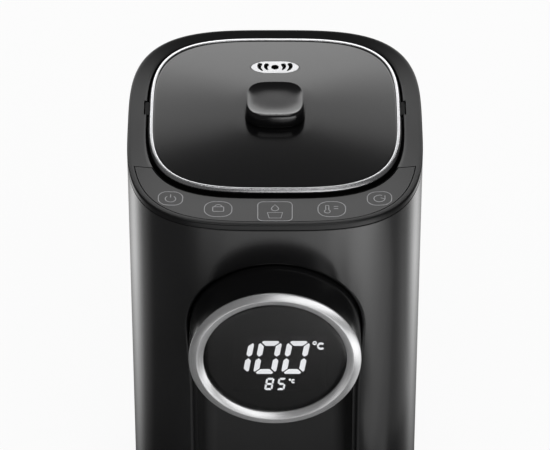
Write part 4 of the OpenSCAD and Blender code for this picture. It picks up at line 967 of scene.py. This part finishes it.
pane = {"radius": 50.2, "front": 2.75, "crown": 0.3, "edge": 3.0, "step": 3.6, "flange": 53.3, "back": 5.5,
        "rings": (0, 8, 16, 24, 32, 40, 46, 49.9)}


def makeGlass():
    f, r = bezel["face"], pane["radius"]
    profile = [(q, f + pane["front"] - pane["crown"] * (1 - (q / r) ** 2)) for q in pane["rings"]]
    profile += [(r, f + pane["edge"]), (r, f + pane["step"]), (pane["flange"], f + pane["step"])]
    profile += [(pane["flange"], f + pane["back"]), (0, f + pane["back"])]
    window = aboutSnout("display_window", profile, 192, closed=False)
    dress(window, "smokedGlass", "pot", ["display_glass"], 40)


digits = {"back": -136.95, "thick": 0.8, "slant": 0.155, "drop": -1.6, "tip": 0.5}
bigDigit = {"across": 12.2, "tall": 26.3, "bar": 3.8, "gap": 1.12}
smallDigit = {"across": 4.4, "tall": 9.6, "bar": 1.28, "gap": 0.52}
segmentPlace = {"top": (0, 1), "upperRight": (1, 0.5), "lowerRight": (1, -0.5), "bottom": (0, -1),
                "lowerLeft": (-1, -0.5), "upperLeft": (-1, 0.5), "middle": (0, 0)}
one = ("upperRight", "lowerRight")
zero = ("top", "upperRight", "lowerRight", "bottom", "lowerLeft", "upperLeft")
five = ("top", "upperLeft", "middle", "lowerRight", "bottom")
eight = zero + ("middle",)
# what the display shows: kind of digit, its middle and its bars
shownDigits = ((bigDigit, (-24.6, 0), one), (bigDigit, (-5.2, 0), zero), (bigDigit, (14.5, 0), zero),
               (smallDigit, (-4.0, -25.0), eight), (smallDigit, (4.6, -25.0), five))
shownLetters = (((32.3, 10.6), 5.6, 6.2, 1.2), ((12.9, -22.3), 2.9, 3.4, 0.7))  # middle, width, height, line
shownDegrees = (((27.8, 13.5), 1.5, 1.0), ((10.5, -21.0), 0.8, 0.45))  # middle, radius, hole


def segment(kind, where, name):
    # one bar of a digit: a hexagon with drawn-out tips, slanted with the whole digit
    side, rise = segmentPlace[name]
    upright = side != 0
    middle = (where[0] + side * kind["across"] / 2, where[1] + rise * kind["tall"] / 2)
    half = (kind["tall"] / 4 if upright else kind["across"] / 2) - kind["gap"]
    t = kind["bar"] / 2
    # the tips lie towards the digit's outside, but not at its waist
    out = (side if upright else rise) or 1
    low = digits["tip"] * t if (rise < 0 if upright else rise) else 0
    high = digits["tip"] * t if (rise > 0 if upright else rise) else 0
    corners = [(-half - low, out * low), (t - half - 2 * low, out * t), (half - t + 2 * high, out * t),
               (half + high, out * high), (half - t, -out * t), (t - half, -out * t)]
    points = [(middle[0] + (v if upright else u), middle[1] + (u if upright else v)) for u, v in corners]
    return [(x + digits["slant"] * (y - where[1]), y) for x, y in points]


def letterC(where, width, height, line):
    # an ellipse, open for 96 degrees on its right
    turns = [math.radians(48 + 264 * k / 16) for k in range(17)]
    wide, high = width / 2, height / 2
    outer = [(where[0] + wide * math.cos(t), where[1] + high * math.sin(t)) for t in turns]
    wide, high = wide - line, high - line
    inner = [(where[0] + wide * math.cos(t), where[1] + high * math.sin(t)) for t in reversed(turns)]
    return outer + inner


def ringFace(bm, where, *radii):
    edges = []
    place = Matrix.Translation((where[0] * mm, where[1] * mm, 0))
    for r in radii:
        verts = bmesh.ops.create_circle(bm, segments=20, radius=r * mm, matrix=place)["verts"]
        edges += list({e for v in verts for e in v.link_edges})
    bmesh.ops.bridge_loops(bm, edges=edges)


def makeDigits():
    bm = bmesh.new()
    shapes = [segment(kind, middle, name) for kind, middle, bars in shownDigits for name in bars]
    shapes += [letterC(*letter) for letter in shownLetters]
    for points in shapes:
        bm.faces.new([bm.verts.new((x * mm, y * mm, 0)) for x, y in points])
    for degree in shownDegrees:
        ringFace(bm, *degree)
    bmesh.ops.recalc_face_normals(bm, faces=bm.faces)
    raiseFlat(bm, (0, 0, digits["thick"] * mm))
    bmesh.ops.rotate(bm, cent=(0, 0, 0), matrix=Matrix.Rotation(math.radians(90), 3, "X"), verts=bm.verts)
    up = snout["axis"][2] + digits["drop"]
    bmesh.ops.translate(bm, vec=(0, digits["back"] * mm, up * mm), verts=bm.verts)
    dress(asObject("display_lights", bm), "litDigits", "pot", ["display_digits"], 40)


bay = {"mouth": 58.5, "edge": 60.6, "side": 48.5, "back": -88.5, "bend": -107.7, "wall": 2.4, "low": 40.1,
       "plan": (100.5, 108), "front": -118, "cutFront": -125, "cutReach": (30, 240),
       "snoutRoom": 60.7, "snoutStart": -121.5, "snoutLong": 60,
       "rounding": {9: (2, 5), 7: (3, 4)}}  # radius, and the corners it goes to


def makeBay():
    m, e, s, b, k, wall = bay["mouth"], bay["edge"], bay["side"], bay["back"], bay["bend"], bay["wall"]
    front, cutFront, high = bay["front"], bay["cutFront"], snout["axis"][2]
    outer = [(-e, front), (e, front), (e, k + 4), (s + wall, b + wall), (-s - wall, b + wall), (-e, k + 4)]
    space = [(-m, cutFront), (m, cutFront), (m, k), (s, b), (-s, b), (-m, k)]
    liner = asObject("bay_wall", flatShape(outer, bay["low"], high))
    carve(liner, loft([level(*bay["plan"], z) for z in bay["cutReach"]]), operation="INTERSECT")
    carve(liner, flatShape(space, *bay["cutReach"], bay["rounding"], 10))
    carve(liner, drum(bay["snoutRoom"], (0, bay["snoutStart"], high), bay["snoutLong"]))
    tidyMesh(liner.data, 0)
    dress(liner, "baySatin", "pot", ["bay_liner"], 32)


def makeNozzle():
    profile = [(4.5, 163.6), (4.9, 163.1), (6.0, 163.1), (6.5, 163.4), (7.9, 167.6), (8, 168.2), (8, 175.1),
               (11, 175.1), (11, 177.6), (5, 177.6), (5, 191.1), (3.6, 191.1), (3.6, 177.1), (4.5, 175.1)]
    centre = (*snout["outletSpot"][:2], 0)
    spout = asObject("outlet_nozzle", spinAbout(profile, centre, (0, 0, 1), 64))
    dress(spout, "innerBlack", "pot", ["spout_nozzle"], 40)


makeSnout()
makeDisplayRing()
makeGlass()
makeDigits()
makeBay()
makeNozzle()
print("snout and bay made")

# Pieces whose solids have the right shape: merged, softened copies with their own finish


def dressedCopy(node, finish, body):
    mesh = frame["nodes"][node].data.copy()
    mesh.name = node + "_dressed"
    tidyMesh(mesh)
    piece = bpy.data.objects.new(mesh.name, mesh)
    scene.collection.objects.link(piece)
    dress(piece, finish, body, [node], edge=0.2)


slotFinish = {
    "satin_black": "casingSatin", "inner_black": "innerBlack", "foot_rubber": "footRubber",
    "silicone": "paleSilicone", "steel": "brushedSteel", "sensor_metal": "sensorMetal",
    "screw_steel": "screwSteel", "board_green": "boardGreen", "part_black": "partBlack",
    "heater_metal": "heaterMetal", "mica_band": "micaBand", "insulation": "wadding",
    "pump_white": "pumpWhite", "motor_case": "motorCase", "magnet_dark": "magnetDark",
    "pin_brass": "pinBrass", "wire_red": "wireRed",
}
# these differ from their slot: turned about the tank's axis, or matt in the lid's gap and behind the glass
nodeFinish = {"inner_tank": "tankSteel", "tank_collar": "tankSteel", "lid_inner_cover": "tankSteel",
              "tank_strainer": "tankSteel", "lid_tray": "trayMatt", "display_board": "trayMatt",
              "display_holder": "trayMatt"}


def dressRest():
    slotOf = {name: thing.data.materials[0].name for name, thing in frame["nodes"].items()}
    bodies = frame["record"]["behaviour"]["bodies"]
    bodyOf = {name: body for body, names in bodies.items() for name in names}
    for name, thing in frame["nodes"].items():
        if not thing.hide_render:
            finish = nodeFinish.get(name, slotFinish[slotOf[name]])
            dressedCopy(name, finish, bodyOf[name])


dressRest()
print("rest dressed")
